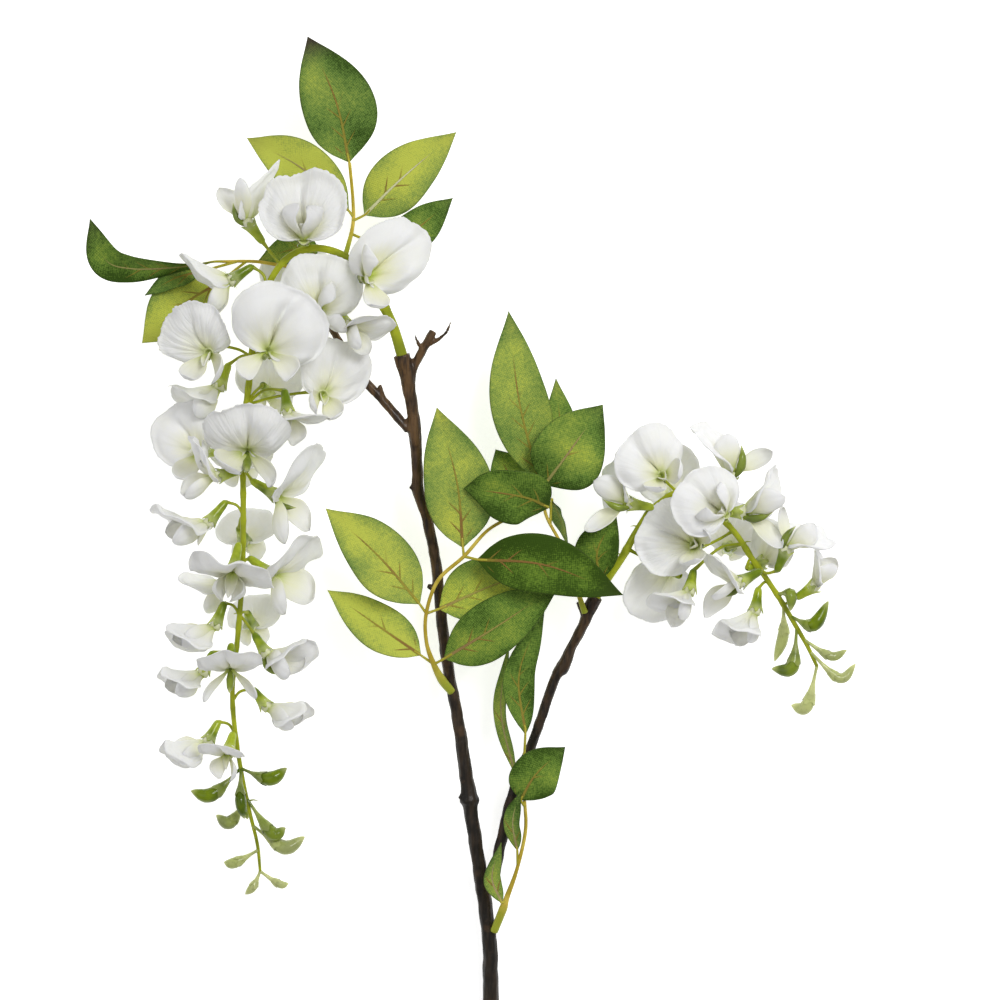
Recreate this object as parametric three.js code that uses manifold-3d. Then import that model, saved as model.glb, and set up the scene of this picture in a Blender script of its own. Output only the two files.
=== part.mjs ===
// Artificial white wisteria spray, lying on a table.
// Units are millimetres, +Z is up, and the table is the plane Z = 0.
// The cut end of the branch points to -Y, and both racemes arch over from the branch tips.
// Every branch, stem and stalk is a swept tube, and every petal and leaf is a thin curved blade.
import * as THREE from 'three';
import Module from 'manifold-3d';

const wasm = await Module();
wasm.setup();

// ---------------------------------------------------------------- driving dimensions
const CLEARANCE = 0.3; // between one piece and the next
const PETAL_THICKNESS = 0.7;
const LEAF_THICKNESS = 0.7;
const LEAF_STALK_HALF = 0.45;
const PEDICEL_RADIUS = 0.65;
const CALYX_LENGTH = 10;
const CALYX_MOUTH_RADIUS = 2.5;
const PETAL_ROOT_LENGTH = 2.6;
const PETAL_ROOT_RADIUS = 1.9;
const SOCKET_DEPTH = 6;

// Floret shapes, as shares of the width of the standard.
const STANDARD_REACH = 0.86;
const STANDARD_TAPER = 0.72; // how fast the reach falls off towards the sides
const STANDARD_FAN = THREE.MathUtils.degToRad(112); // to each side of the middle
const NOTCH_DEPTH = 0.05;
const NOTCH_HALF_ANGLE = 0.3;
const PLEAT_HEIGHT = 0.02;
const WING_LENGTH = 0.56;
const WING_OUTLINE = [[0, 0], [0.4, 0.17], [0.8, 0.18], [1, 0]]; // [share of length, half width]
const KEEL_LENGTH = 0.45;
const KEEL_OUTLINE = [[0, 0], [0.6, 0.08], [1, 0]];

// Leaf outline: the share of its length where it is widest, and how fast it narrows.
const WIDEST_AT = 0.48;
const NARROWING_TO_BASE = 0.7;
const NARROWING_TO_TIP = 0.76;
const LEAF_FOLD = 0.14; // how far the edges rise above the midrib, as a share of the half width

// Faces are few: these are the steps along and the sides round each tube.
const MAIN_STEPS = 24;
const FORK_STEPS = 12;
const BRANCH_SIDES = 6;
const STEM_STEPS = 24;
const STEM_SIDES = 5;
const STALK_SIDES = 4;
const PEDICEL_SIDES = 3;
const SPAN_WITH_MORE_FACES = 35;

const COLOURS = {
  branch: [0x3a2c22, 0.55],
  stem: [0x86a832, 0.4],
  petal: [0xf4f5f2, 0.8],
  leaf: [0x5f8f45, 0.75],
};

// ---------------------------------------------------------------- layout
// Centre lines are [x, y, z, radius].
const MAIN_STEM = [
  [9.5, -227, 3.8, 3.8], [8, -202, 5.2, 3.5], [7, -177.5, 7.4, 3.4], [6.5, -157.5, 9.4, 3.2],
  [4.5, -140, 11.4, 3.1], [1, -116.5, 14, 2.9], [-1.6, -99, 15.8, 3.0], [-2, -95, 16.2, 4.3],
  [-3, -87, 17, 3.0], [-7.5, -57.5, 20, 2.5], [-11, -39, 22, 2.4], [-13.5, -21, 24, 2.4],
  [-15, -4.5, 26, 2.4], [-16.5, 8, 27.2, 2.3], [-20, 25, 29.4, 2.3], [-23.5, 36.5, 30.8, 2.5],
  [-24, 50, 32, 2.3], [-25, 62, 33.2, 2.9], [-26, 70.5, 34, 2.5], [-27.8, 83, 35.6, 3.0],
  [-30.4, 93.5, 37, 3.5],
];
const RIGHT_FORK = [
  [7, -134, 12, 2.4], [12.5, -108, 15, 2.4], [18, -87, 17.2, 2.3], [25.5, -68, 19.6, 2.1],
  [34, -43.5, 23, 2.1], [37.5, -38, 24, 3.0], [41, -30, 25.4, 2.1], [46, -20, 27.4, 2.2],
  [49, -12.5, 29, 2.9], [51.5, -8, 30, 2.9],
];
const TWIGS = [
  [[-26.8, 80, 35.2, 2.0], [-25.5, 88, 35.6, 1.9], [-21.5, 95.5, 36, 1.8], [-17, 103.5, 36.4, 1.7]],
  [[-19.4, 97.4, 36.2, 1.1], [-12.5, 102, 37, 0.7], [-9.5, 107.5, 38, 0.4]],
  [[-21.8, 96, 36.6, 0.9], [-24, 99.5, 37.2, 0.6], [-25, 102.5, 37.6, 0.35]],
  [[-27.5, 62, 33.4, 2.0], [-37.5, 73.5, 33.6, 1.9], [-47.5, 84.5, 33.2, 1.9], [-54.5, 95.5, 30, 1.7],
    [-61.5, 107, 26, 1.5]],
];
const NUBS = [
  [[-2, -96, 17, 1.8], [-6.2, -93, 18.4, 1.0]],
  [[-15, -6, 26, 1.5], [-19.6, -3.6, 27, 1.0]],
  [[-22.6, 35, 31, 1.4], [-26.8, 38.4, 32, 0.9]],
  [[-37.6, 73.5, 34, 1.3], [-39.6, 81, 35, 0.8]],
  [[47, -17, 27.6, 1.8], [44.2, -10.2, 28.6, 1.3]],
];

const LONG_STEM = [
  [-29.4, 89.5, 36.5, 2.3], [-31, 96, 37.4, 2.3], [-35, 108, 39, 2.1], [-43, 123, 40.4, 1.8],
  [-54, 134.5, 41, 1.6], [-67, 138, 41, 1.5], [-78, 134, 40.2, 1.4], [-86, 123, 38.6, 1.35],
  [-91.5, 106, 36.6, 1.3], [-94, 86, 35, 1.3], [-97, 58, 33.8, 1.25], [-97, 28.5, 33, 1.2],
  [-97.5, 1.5, 32, 1.15], [-99.5, -24, 30, 1.1], [-102, -47, 27.4, 1.05], [-101, -66, 24.2, 1],
  [-98.5, -84, 20.2, 0.95], [-95.5, -100, 16, 0.85], [-92.5, -114, 12, 0.75], [-91.5, -126, 8.6, 0.6],
];
const SHORT_STEM = [
  [49.6, -11.6, 29.2, 1.75], [52.8, -6, 30.5, 1.7], [56.5, 0, 31.8, 1.7], [62.5, 9, 34, 1.6],
  [68, 19, 36, 1.5], [75, 29, 37.6, 1.4], [85.5, 35.5, 38.4, 1.35], [96, 33, 37.8, 1.3],
  [104, 25, 36.4, 1.3], [111, 17, 34.8, 1.25], [116.5, 8.5, 33, 1.2], [122, 1, 31, 1.15],
  [127.5, -7, 28.6, 1.1], [132, -14, 26.2, 1.05], [136.5, -21.5, 23.6, 1], [141, -29, 20.6, 0.9],
  [145.5, -38, 17.2, 0.75],
];

// Florets: the centre of the calyx mouth, where the floret faces, where its standard stands,
// the width of the standard, how wide it opens (0 a closed hood, 1 flat open), how far the wings
// lift towards the standard (above 0) or droop away from it (below 0), and true where the keel shows.
const LONG_FLORETS = {
  a: [[-94, 148, 41], [-0.6, 0.8, 0.05], [0.8, 0.6, 0], 26, 0, 0.1, true],
  b: [[-70.5, 141, 52], [-0.05, 0.1, 1], [0, 1, -0.1], 35, 0.9, 0.5, true],
  c: [[-45, 125, 53.4], [0.3, -0.1, 0.95], [0.75, 0.65, 0], 36, 0.9, -0.1],
  d: [[-64.5, 111, 42.5], [-0.05, -0.12, 1], [0.1, 1, 0.1], 33, 0.9, -0.1],
  e: [[-53.5, 106, 43.5], [0.35, -0.75, 0.45], [0.9, 0.4, 0.25], 26, 0.4, 0],
  f: [[-101, 125, 40], [-0.8, -0.55, 0.2], [-0.6, 0.75, 0.1], 28, 0.1, -0.2],
  g: [[-110, 94.5, 42], [-0.4, -0.3, 0.9], [-0.45, 0.9, 0.1], 30, 0.9, -0.2],
  h: [[-85.5, 94.5, 55], [0, -0.2, 0.97], [0.45, 0.88, 0.2], 41, 1, -0.4, true],
  i: [[-107, 81, 30], [-0.35, -0.9, 0.2], [-0.95, 0.4, 0], 27, 0.5, 0.1],
  j: [[-78, 70, 41], [0.15, -0.95, 0.2], [0.75, 0.2, 0.6], 24, 0.5, -0.1],
  k: [[-64, 77, 36], [0.3, -0.15, 0.93], [0.4, 0.9, 0], 29, 0.9, -0.2],
  l: [[-114.6, 52.6, 28.6], [-0.45, 0, 0.9], [-0.65, 0.75, 0.05], 30, 0.9, 0.2],
  m: [[-94.5, 54, 44], [0, -0.6, 0.8], [0, 0.8, 0.6], 36, 0.9, 0.2, true],
  n: [[-83.5, 35, 40], [0.85, -0.5, 0.2], [0.4, 0.9, 0.1], 37, 0.85, -0.4],
  o: [[-111, 23.5, 36], [-0.6, -0.75, 0.2], [-0.8, 0.55, 0.2], 32, 0.4, -0.1],
  p: [[-100.5, 4, 41], [-0.15, -0.9, 0.4], [0.15, 0.4, 0.9], 37, 0.7, -0.1],
  q: [[-86, 2, 35], [0.75, -0.55, 0.3], [0.5, 0.8, 0.1], 33, 0.7, -0.2],
  r: [[-108.5, -19.5, 34], [-0.35, -0.9, 0.2], [-0.9, 0.35, 0.2], 27, 0.5, 0.3],
  s: [[-87.5, -31.5, 35], [0.5, -0.75, 0.4], [0.7, 0.65, 0.3], 28, 0.5, 0],
  t: [[-114, -39.5, 28], [-0.4, -0.85, 0.25], [-0.95, 0.3, 0.2], 24, 0.5, 0.2],
  u: [[-102, -36.5, 40], [0, -0.85, 0.5], [0, 0.5, 0.85], 27, 0.9, -0.3, true],
  v: [[-88, -54, 28], [0.6, -0.75, 0.2], [0.75, 0.6, 0.2], 24, 0.2, 0.2],
  w: [[-112.5, -69, 22], [-0.45, -0.85, 0.2], [-0.85, 0.45, 0.2], 24, 0.3, 0.2],
  x: [[-103.5, -73, 30], [-0.2, -0.85, 0.45], [-0.3, 0.4, 0.85], 21, 0.7, -0.1],
  y: [[-106, 42.6, 50.4], [-0.95, -0.25, 0.3], [-0.25, 0.9, 0.3], 26.5, 0.6, -0.1],
  z: [[-105, -2, 29], [-0.5, -0.75, -0.3], [-0.85, 0.5, 0], 25, 0.5, 0.1],
  back_1: [[-78, 120, 24], [0.1, 0.1, -1], [0.1, 1, 0], 30, 0.7, 0],
  back_2: [[-88, 78, 20], [0.1, -0.3, -0.95], [0.1, 0.95, -0.3], 30, 0.7, 0],
  back_3: [[-98, 48, 18], [-0.2, -0.4, -0.9], [-0.1, 0.9, -0.4], 28, 0.7, 0],
  back_4: [[-98, 16, 17], [0.15, -0.5, -0.85], [0, 0.85, -0.5], 26, 0.7, 0],
  back_5: [[-95, -20, 17], [0.1, -0.55, -0.8], [0, 0.8, -0.55], 24, 0.7, 0],
};
const SHORT_FLORETS = {
  a: [[65.5, 31, 43.4], [-0.93, 0.15, 0.25], [-0.1, 0.9, -0.45], 28.5, 0.5, -0.1, true],
  b: [[78, 42.8, 50], [0.1, -0.1, 1], [-0.6, 0.75, 0.3], 29.5, 0.9, 0.1],
  c: [[103.7, 27, 55.4], [0.1, -0.05, 1], [-0.82, 0.57, 0.15], 30, 0.9, 0.5],
  d: [[93, 13.5, 40], [-0.2, 0.1, 0.95], [-0.9, 0.34, 0.12], 32, 0.8, 0],
  e: [[107.5, 42.5, 42], [0.3, 0.93, 0.2], [-0.8, 0.25, -0.5], 33, 0.2, -0.1, true],
  f: [[112, 27.5, 42], [0.95, 0, 0.3], [0.1, 0.95, -0.3], 31, 0.1, -0.1, true],
  g: [[130.5, 11.5, 40], [0.35, 0.88, 0.3], [0.8, -0.3, -0.5], 27, 0.3, 0.1],
  h: [[143, -4, 29], [0.75, 0.5, 0.2], [-0.6, 0.75, 0.1], 22, 0.1, 0.1],
  i: [[84, 3, 27], [-0.2, 0.2, -0.9], [-0.45, -0.9, 0], 29, 0.8, 0],
  j: [[112, -1.5, 40], [-0.85, -0.45, 0.3], [-0.3, 0.75, 0.5], 27, 0.4, 0, true],
  k: [[118.5, -13.5, 31], [-0.15, -0.97, 0.2], [-0.85, 0.2, 0.45], 25, 0.3, 0.2],
  l: [[90.5, -5, 37], [-0.2, -0.9, 0.35], [-0.85, 0.3, 0.4], 24, 0.4, 0.1],
  m: [[121, 6, 26], [0.6, 0.2, -0.6], [0.2, 0.9, 0.3], 24, 0.5, 0],
  back_1: [[84, 33, 18], [-0.1, 0.2, -0.95], [-0.1, 1, 0.1], 29, 0.7, 0],
  back_2: [[108, 12, 16.4], [0.1, 0, -1], [0.3, 0.95, 0], 27, 0.7, 0],
};

// Claw-shaped buds: base, belly, tip, and the radius of the belly.
const LONG_BUDS = [
  [[-98.5, -76, 24], [-86.5, -85, 27], [-79, -80.5, 27], 2.5],
  [[-100.5, -80, 22], [-111, -92, 23], [-120, -90.5, 23], 2.5],
  [[-101, -93, 20], [-103.5, -104, 20], [-109.5, -101, 20], 2.3],
  [[-98, -84, 24], [-98.5, -94, 29], [-97, -102, 27], 1.9],
  [[-97, -92, 17], [-86, -108.5, 19], [-80, -106.5, 19], 2.4],
  [[-94, -106, 15], [-81, -115, 16], [-72, -110.5, 16], 2.5],
  [[-93.5, -114, 12], [-102, -122, 11], [-107, -122, 10], 1.9],
  [[-91.8, -125, 9], [-94.5, -132.5, 8], [-98, -136, 7], 1.5],
  [[-91.8, -124, 9], [-83.5, -131.5, 7], [-79.5, -131.5, 6], 1.4],
  [[-97, -88, 18], [-99, -96, 9], [-97, -104, 6], 2.0],
];
const SHORT_BUDS = [
  [[128, -7, 28], [133, -7, 33], [133, -14, 34], 1.9],
  [[133, -15, 26], [143, -20, 28], [149.5, -10, 28], 2.4],
  [[131, -13, 25], [131, -25, 19], [127.5, -36, 17], 2.0],
  [[136, -21, 24], [134.5, -38, 22], [126, -39, 21], 2.5],
  [[141, -29, 21], [151, -33.5, 21], [158, -31, 20], 1.6],
  [[143.5, -34, 19], [155, -43, 18], [162, -37, 17], 1.8],
  [[145, -38, 17], [141.5, -55, 13], [135, -55, 11], 2.3],
];

// Leaf sprays: the centre line of the main stalk, then for each leaf the place on that stalk where
// it starts, its midrib from base to tip, its full width, and its roll about the midrib in degrees.
// A leaf that twists has its roll at its tip too, and then the share of its length where it is widest.
const LEAF_SPRAYS = {
  top: {
    stalk: [[-53.6, 135.6, 40.4, 1.1], [-51, 148, 33, 0.8], [-51, 158.5, 31, 0.7], [-52.4, 174.5, 32, 0.7]],
    leaves: [
      [[-52.2, 172, 32], [[-52.6, 175, 32], [-58, 200, 36], [-70, 227.5, 33]], 31, 6],
      [[-51, 152, 32.2], [[-53, 154.6, 31.6], [-72, 172, 31], [-96, 185.5, 26]], 24, -18],
      [[-51, 150, 32.6], [[-46, 152.6, 32], [-30, 168, 35], [-7.5, 187.5, 31]], 24, 10],
      [[-51.6, 144.4, 35], [[-38, 139, 31], [-24, 147, 31], [-9, 160, 28]], 17, 14],
    ],
  },
  left: {
    stalk: [[-71, 136, 39, 1.2], [-76, 131, 33, 0.8], [-92, 133, 31, 0.7], [-106, 133, 31, 0.6]],
    leaves: [
      [[-76, 131.4, 32.8], [[-66, 133, 30], [-76, 138, 28], [-91, 134, 26]], 15, 0],
      [[-104, 133, 31], [[-109, 133, 31], [-127, 130.5, 32], [-145, 130, 34], [-155, 134, 37],
        [-161, 150.5, 38]], 14.5, -88, 12, 0.68],
      [[-96, 133, 31], [[-107.6, 124.4, 28], [-124, 114, 28], [-140.5, 99, 24]], 26, 12],
      [[-100, 133, 31], [[-115.6, 128.8, 29], [-126, 126, 29], [-139, 119, 27]], 11, 30],
    ],
  },
  middle: {
    stalk: [[-9.6, -48.5, 22.4, 1.8], [-13.6, -43.4, 26, 1.9], [-17, -36.6, 31, 1.2], [-20, -27, 35, 0.8],
      [-20, -14.8, 38, 0.8], [-15, -1, 41, 0.8], [-4, 9.2, 43, 0.8], [6.6, 20.6, 44, 0.7],
      [20, 27, 44, 0.7], [30, 29, 45.4, 0.7]],
    leaves: [
      [[-4.2, 9, 43], [[-4.6, 13, 43.4], [-7, 40, 49], [-15.5, 71.2, 44]], 29, -6],
      [[-20, -15, 38], [[-23, -10.8, 37], [-40, 9, 37], [-62.5, 29, 30]], 26, 8],
      [[-17.2, -36.4, 31], [[-22.6, -32.6, 32], [-41, -20, 32], [-62, -5.5, 26]], 20, 14],
      [[28, 28.7, 45.2], [[31, 29.6, 46.4], [22, 33.5, 54], [8, 36, 56], [-4.2, 37.4, 51]], 24, -16],
      [[-4.2, 9, 43], [[1.6, 7.8, 45.6], [30, 5.5, 54], [62.2, -7, 47]], 25, 8],
      [[-20, -15, 38], [[-14.4, -13, 37], [6, -4, 36], [28, 4, 33]], 27, -8],
      [[-17, -36.6, 31.4], [[-12.4, -34, 34], [10, -20, 43], [36, -2.6, 43.5]], 24, -8],
    ],
  },
  right: {
    stalk: [[46.6, -14.8, 31.4, 1.4], [44, -7, 34, 1.0], [40, 8, 35, 0.8], [35, 17, 36, 0.7],
      [30, 27, 36, 0.7], [29.5, 37, 36, 0.6]],
    leaves: [
      [[29.5, 36, 36], [[29.6, 39, 36.4], [40, 53, 41], [54, 72.6, 37]], 31, 6],
      [[29.6, 35, 36], [[27.4, 41, 33.4], [19, 74, 32], [14.5, 112.4, 26]], 25, 4],
      [[29.6, 35, 36], [[33.4, 43.4, 31.4], [36, 62, 27], [34.6, 84, 22]], 16, 30],
      [[29.8, 32, 36], [[24.4, 33.8, 32], [16, 42, 28], [9, 54, 24]], 20, -10],
      [[32, 22.4, 36], [[32.6, 32.6, 35], [36, 26, 33], [39.4, 13.6, 31]], 15, 76],
      [[44, -7, 34], [[52.6, -0.6, 35.4], [52, 12, 37], [59.8, 26, 35]], 19, -12],
    ],
  },
  lower: {
    stalk: [[8.4, -151, 13.2, 1.7], [12.2, -141, 17.6, 1.8], [13.8, -136, 19.4, 1.2], [18, -124, 21.6, 0.8],
      [21.6, -108, 23.4, 0.8], [21.4, -96, 25, 0.7], [20.2, -88, 26, 0.6]],
    leaves: [
      [[20.4, -90, 25.8], [[17.4, -83.4, 26], [11.4, -56, 27], [14.6, -28.6, 25]], 9, -52],
      [[20.3, -89, 25.9], [[21.6, -66, 28.4], [19, -40, 31], [29.6, -14, 29]], 15, 28],
      [[21.4, -97, 25], [[19.6, -94, 26.8], [26, -83, 30], [38.4, -71.6, 27]], 21, 10],
      [[18.4, -122, 22], [[18.2, -115.6, 23.2], [16.4, -103, 26], [19.4, -90.6, 29]], 9, -40],
      [[13.6, -137, 19], [[11.6, -138, 21.4], [7.4, -127, 22], [11.4, -112.4, 23]], 9, 40],
    ],
  },
};

// ---------------------------------------------------------------- geometry helpers
const vector = ([x, y, z]) => new THREE.Vector3(x, y, z);
const lerp = THREE.MathUtils.lerp;
const smoothstep = THREE.MathUtils.smoothstep;

// A closed triangle mesh as a solid with its faces pointing out.
function solid(points, triangles) {
  let volume = 0;
  for (const [a, b, c] of triangles) {
    volume += points[a].dot(new THREE.Vector3().crossVectors(points[b], points[c]));
  }
  const facingOut = volume > 0 ? triangles : triangles.map(([a, b, c]) => [a, c, b]);
  const vertProperties = new Float32Array(points.flatMap((p) => [p.x, p.y, p.z]));
  const triVerts = new Uint32Array(facingOut.flat());
  return new wasm.Manifold(new wasm.Mesh({ numProp: 3, vertProperties, triVerts }));
}

// A smooth curve through rows of [x, y, z, radius], as points with their radii.
function smoothPath(rows, steps) {
  const curve = new THREE.CatmullRomCurve3(rows.map(vector), false, 'catmullrom');
  const stations = rows.length - 1;
  return Array.from({ length: steps + 1 }, (_, k) => {
    const place = (k / steps) * stations;
    const row = Math.min(Math.floor(place), stations - 1);
    const radius = lerp(rows[row][3], rows[row + 1][3], place - row);
    return { point: curve.getPoint(k / steps), radius };
  });
}

// A tube through the stations of a path, with its own radius at each, closed at both ends.
function tube(path, sides) {
  const points = [];
  const triangles = [];
  const tangents = path.map(({ point }, k) => {
    const before = path[Math.max(k - 1, 0)].point;
    const after = path[Math.min(k + 1, path.length - 1)].point;
    return after.clone().sub(before).normalize();
  });
  const across = new THREE.Vector3(0, 0, 1);
  if (Math.abs(tangents[0].z) > 0.9) across.set(1, 0, 0);
  path.forEach(({ point, radius }, k) => {
    across.addScaledVector(tangents[k], -across.dot(tangents[k])).normalize();
    const other = new THREE.Vector3().crossVectors(tangents[k], across);
    for (let side = 0; side < sides; side += 1) {
      const angle = (side / sides) * 2 * Math.PI;
      points.push(point.clone().addScaledVector(across, radius * Math.cos(angle))
        .addScaledVector(other, radius * Math.sin(angle)));
    }
  });
  for (let k = 0; k < path.length - 1; k += 1) {
    for (let side = 0; side < sides; side += 1) {
      const next = (side + 1) % sides;
      const [a, b] = [k * sides + side, k * sides + next];
      triangles.push([a, a + sides, b], [b, a + sides, b + sides]);
    }
  }
  const last = (path.length - 1) * sides;
  for (let side = 1; side < sides - 1; side += 1) {
    triangles.push([0, side, side + 1], [last, last + side + 1, last + side]);
  }
  return solid(points, triangles);
}

// A thin blade about rows of middle points; the first and the last row may be a single point.
function blade(rows, thickness) {
  const columns = Math.max(...rows.map((row) => row.length));
  const isTip = (i) => rows[i].length === 1;
  const at = (i, j) => rows[i][isTip(i) ? 0 : j];
  const points = [];
  const indices = rows.map((row, i) => {
    const wideRow = isTip(i) ? (i === 0 ? 1 : i - 1) : i;
    const own = row.map((place, j) => {
      const left = isTip(i) ? 0 : Math.max(j - 1, 0);
      const right = isTip(i) ? columns - 1 : Math.min(j + 1, columns - 1);
      const middle = isTip(i) ? (columns - 1) / 2 : j;
      const along = at(Math.min(i + 1, rows.length - 1), middle).clone()
        .sub(at(Math.max(i - 1, 0), middle));
      const sideways = at(wideRow, right).clone().sub(at(wideRow, left));
      const normal = new THREE.Vector3().crossVectors(sideways, along).normalize();
      points.push(place.clone().addScaledVector(normal, thickness / 2));
      points.push(place.clone().addScaledVector(normal, -thickness / 2));
      return points.length - 2;
    });
    return isTip(i) ? new Array(columns).fill(own[0]) : own;
  });
  const triangles = [];
  const bothFaces = (a, b, c) => {
    if (a !== b && b !== c && c !== a) triangles.push([a, b, c], [a + 1, c + 1, b + 1]);
  };
  for (let i = 0; i < rows.length - 1; i += 1) {
    for (let j = 0; j < columns - 1; j += 1) {
      bothFaces(indices[i][j], indices[i][j + 1], indices[i + 1][j]);
      bothFaces(indices[i][j + 1], indices[i + 1][j + 1], indices[i + 1][j]);
    }
  }
  const rim = [
    ...indices[0].slice(0, -1),
    ...indices.slice(0, -1).map((row) => row[columns - 1]),
    ...indices[rows.length - 1].slice(1).reverse(),
    ...indices.slice(1).map((row) => row[0]).reverse(),
  ];
  rim.forEach((a, k) => {
    const b = rim[(k + 1) % rim.length];
    if (a !== b) triangles.push([a, a + 1, b], [b, a + 1, b + 1]);
  });
  return solid(points, triangles);
}

const union = (solids) => solids.reduce((whole, next) => whole.add(next));

// ---------------------------------------------------------------- florets
// The axes of a floret: place(x, y, z) is x across, y towards the standard, and z ahead.
function floretAxes([mouth, face, up]) {
  const forward = vector(face).normalize();
  const upward = vector(up).addScaledVector(forward, -vector(up).dot(forward)).normalize();
  const side = new THREE.Vector3().crossVectors(upward, forward);
  const place = (x, y, z) => vector(mouth)
    .addScaledVector(side, x).addScaledVector(upward, y).addScaledVector(forward, z);
  return { forward, place };
}

// The standard: a fan of petal round the upper side of the throat, bent back as it opens.
function standard(place, span, open) {
  const large = span > SPAN_WITH_MORE_FACES;
  const shares = large ? [0.3, 0.65, 1] : [0.45, 1];
  const cells = large ? 8 : 6;
  const rows = shares.map((share) => Array.from({ length: cells + 1 }, (_, j) => {
    const angle = lerp(-STANDARD_FAN, STANDARD_FAN, j / cells);
    const notch = NOTCH_DEPTH * Math.exp(-((angle / NOTCH_HALF_ANGLE) ** 2));
    const reach = span * (STANDARD_REACH * Math.cos(STANDARD_TAPER * angle) - notch);
    const { out, ahead } = standardProfile(share, reach, open);
    const pleat = PLEAT_HEIGHT * span * share * Math.cos(5 * angle);
    return place(out * Math.sin(angle), out * Math.cos(angle), ahead + pleat);
  }));
  return blade([[place(0, 0, 0.6)], ...rows], PETAL_THICKNESS);
}

// How far out and ahead of the throat the standard lies at a share of its reach. It leaves the
// throat at a steep lean, swings out as far as it opens, and its rim nods forward again.
function standardProfile(share, reach, open) {
  const steps = 12;
  const leanAtThroat = 1.15;
  const leanAtRim = lerp(0.95, 1.62, open);
  const nod = 0.35;
  let out = 0;
  let ahead = 0.6;
  for (let k = 0; k < steps; k += 1) {
    const s = (k + 0.5) / steps;
    if (s > share) break;
    const lean = lerp(leanAtThroat, leanAtRim, smoothstep(s, 0, 0.35)) - nod * s * s;
    out += Math.sin(lean) * (reach / steps);
    ahead += Math.cos(lean) * (reach / steps);
  }
  return { out, ahead };
}

// A wing on one side (-1 or 1): a spoon-shaped petal that leans ahead and out.
function wing(place, span, lift, side) {
  const rows = WING_OUTLINE.map(([share, half]) => {
    const along = share * WING_LENGTH * span;
    const x = side * (0.5 + 0.3 * along);
    const [y, z] = [-0.3 + lift * along - 0.006 * along * along, 1.9 + 0.84 * along];
    if (half === 0) return [place(x, y, z)];
    return [-1, 0, 1].map((edge) => {
      const width = half * span * edge;
      const cup = 0.3 * half * span * (1 - edge * edge);
      return place(x + side * (cup + 0.25 * width), y + 0.9 * width, z - 0.15 * width);
    });
  });
  return blade(rows, PETAL_THICKNESS);
}

// The keel: a boat-shaped petal between the wings, folded along its middle. It is left out where
// the wings close over it.
function keel(place, span, lift) {
  const rows = KEEL_OUTLINE.map(([share, half]) => {
    const along = share * KEEL_LENGTH * span;
    const [y, z] = [-0.9 + (lift - 0.2) * along + 0.012 * along * along, 1.5 + 0.88 * along];
    if (half === 0) return [place(0, y, z)];
    return [-1, 0, 1].map((edge) => place(edge * half * span, y + Math.abs(edge) * half * span, z));
  });
  return blade(rows, PETAL_THICKNESS);
}

// All the petals of a floret, joined at a small root that sits in the calyx mouth.
function floretPetals(row) {
  const [, , , span, open, lift, keelShows] = row;
  const { place } = floretAxes(row);
  const root = tube([
    { point: place(0, 0, 0), radius: PETAL_ROOT_RADIUS },
    { point: place(0, 0, PETAL_ROOT_LENGTH), radius: PETAL_ROOT_RADIUS * 0.7 },
  ], PEDICEL_SIDES);
  const petals = [standard(place, span, open), wing(place, span, lift, -1), wing(place, span, lift, 1)];
  if (keelShows) petals.push(keel(place, span, lift));
  return union([root, ...petals]);
}

// The pedicel from the stem and the calyx that it widens into, ending just under the petals.
function pedicelAndCalyx(row, stemPath) {
  const [mouthPoint, , , span] = row;
  const { forward } = floretAxes(row);
  const mouth = vector(mouthPoint).addScaledVector(forward, -CLEARANCE);
  const length = CALYX_LENGTH * lerp(0.7, 1, smoothstep(span, 18, 36));
  const base = mouth.clone().addScaledVector(forward, -length);
  const start = nearestPoint(stemPath, base);
  const bend = start.clone().lerp(base, 0.5).addScaledVector(forward, -0.18 * start.distanceTo(base));
  return tube([
    { point: start, radius: PEDICEL_RADIUS },
    { point: bend, radius: PEDICEL_RADIUS },
    { point: base, radius: PEDICEL_RADIUS * 1.2 },
    { point: base.clone().lerp(mouth, 0.4), radius: CALYX_MOUTH_RADIUS * 0.8 },
    { point: mouth, radius: CALYX_MOUTH_RADIUS },
  ], PEDICEL_SIDES);
}

function nearestPoint(path, target) {
  const points = path.map(({ point }) => point);
  const nearer = (best, p) => (p.distanceTo(target) < best.distanceTo(target) ? p : best);
  return points.reduce(nearer).clone();
}

// A bud like a claw: a thin stalk, a fat belly and a fine tip.
function bud([base, belly, tip, radius], stemPath) {
  const start = nearestPoint(stemPath, vector(base));
  const curve = new THREE.CatmullRomCurve3([start, vector(belly), vector(tip)], false, 'catmullrom');
  const stations = [[0, 0.6], [0.22, 0.6], [0.45, radius], [0.72, 0.8 * radius], [1, 0.3]];
  return tube(stations.map(([share, r]) => ({ point: curve.getPoint(share), radius: r })), STALK_SIDES);
}

// ---------------------------------------------------------------- branch, stems and leaf sprays
function branch() {
  const socketSides = 8;
  const sockets = [LONG_STEM, SHORT_STEM].map((rows) => {
    const [foot, next] = smoothPath(rows, rows.length * 2).slice(0, 2).map(({ point }) => point);
    const inward = foot.clone().sub(next).normalize();
    const radius = (rows[0][3] + CLEARANCE) / Math.cos(Math.PI / socketSides);
    return tube([
      { point: foot.clone().addScaledVector(inward, CLEARANCE), radius },
      { point: foot.clone().addScaledVector(inward, -SOCKET_DEPTH * 2), radius },
    ], socketSides);
  });
  const wood = union([
    tube(smoothPath(MAIN_STEM, MAIN_STEPS), BRANCH_SIDES),
    tube(smoothPath(RIGHT_FORK, FORK_STEPS), BRANCH_SIDES),
    ...TWIGS.map((rows) => tube(smoothPath(rows, rows.length), STEM_SIDES)),
    ...NUBS.map((rows) => tube(smoothPath(rows, 1), STALK_SIDES)),
  ]);
  return sockets.reduce((whole, socket) => whole.subtract(socket), wood);
}

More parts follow.
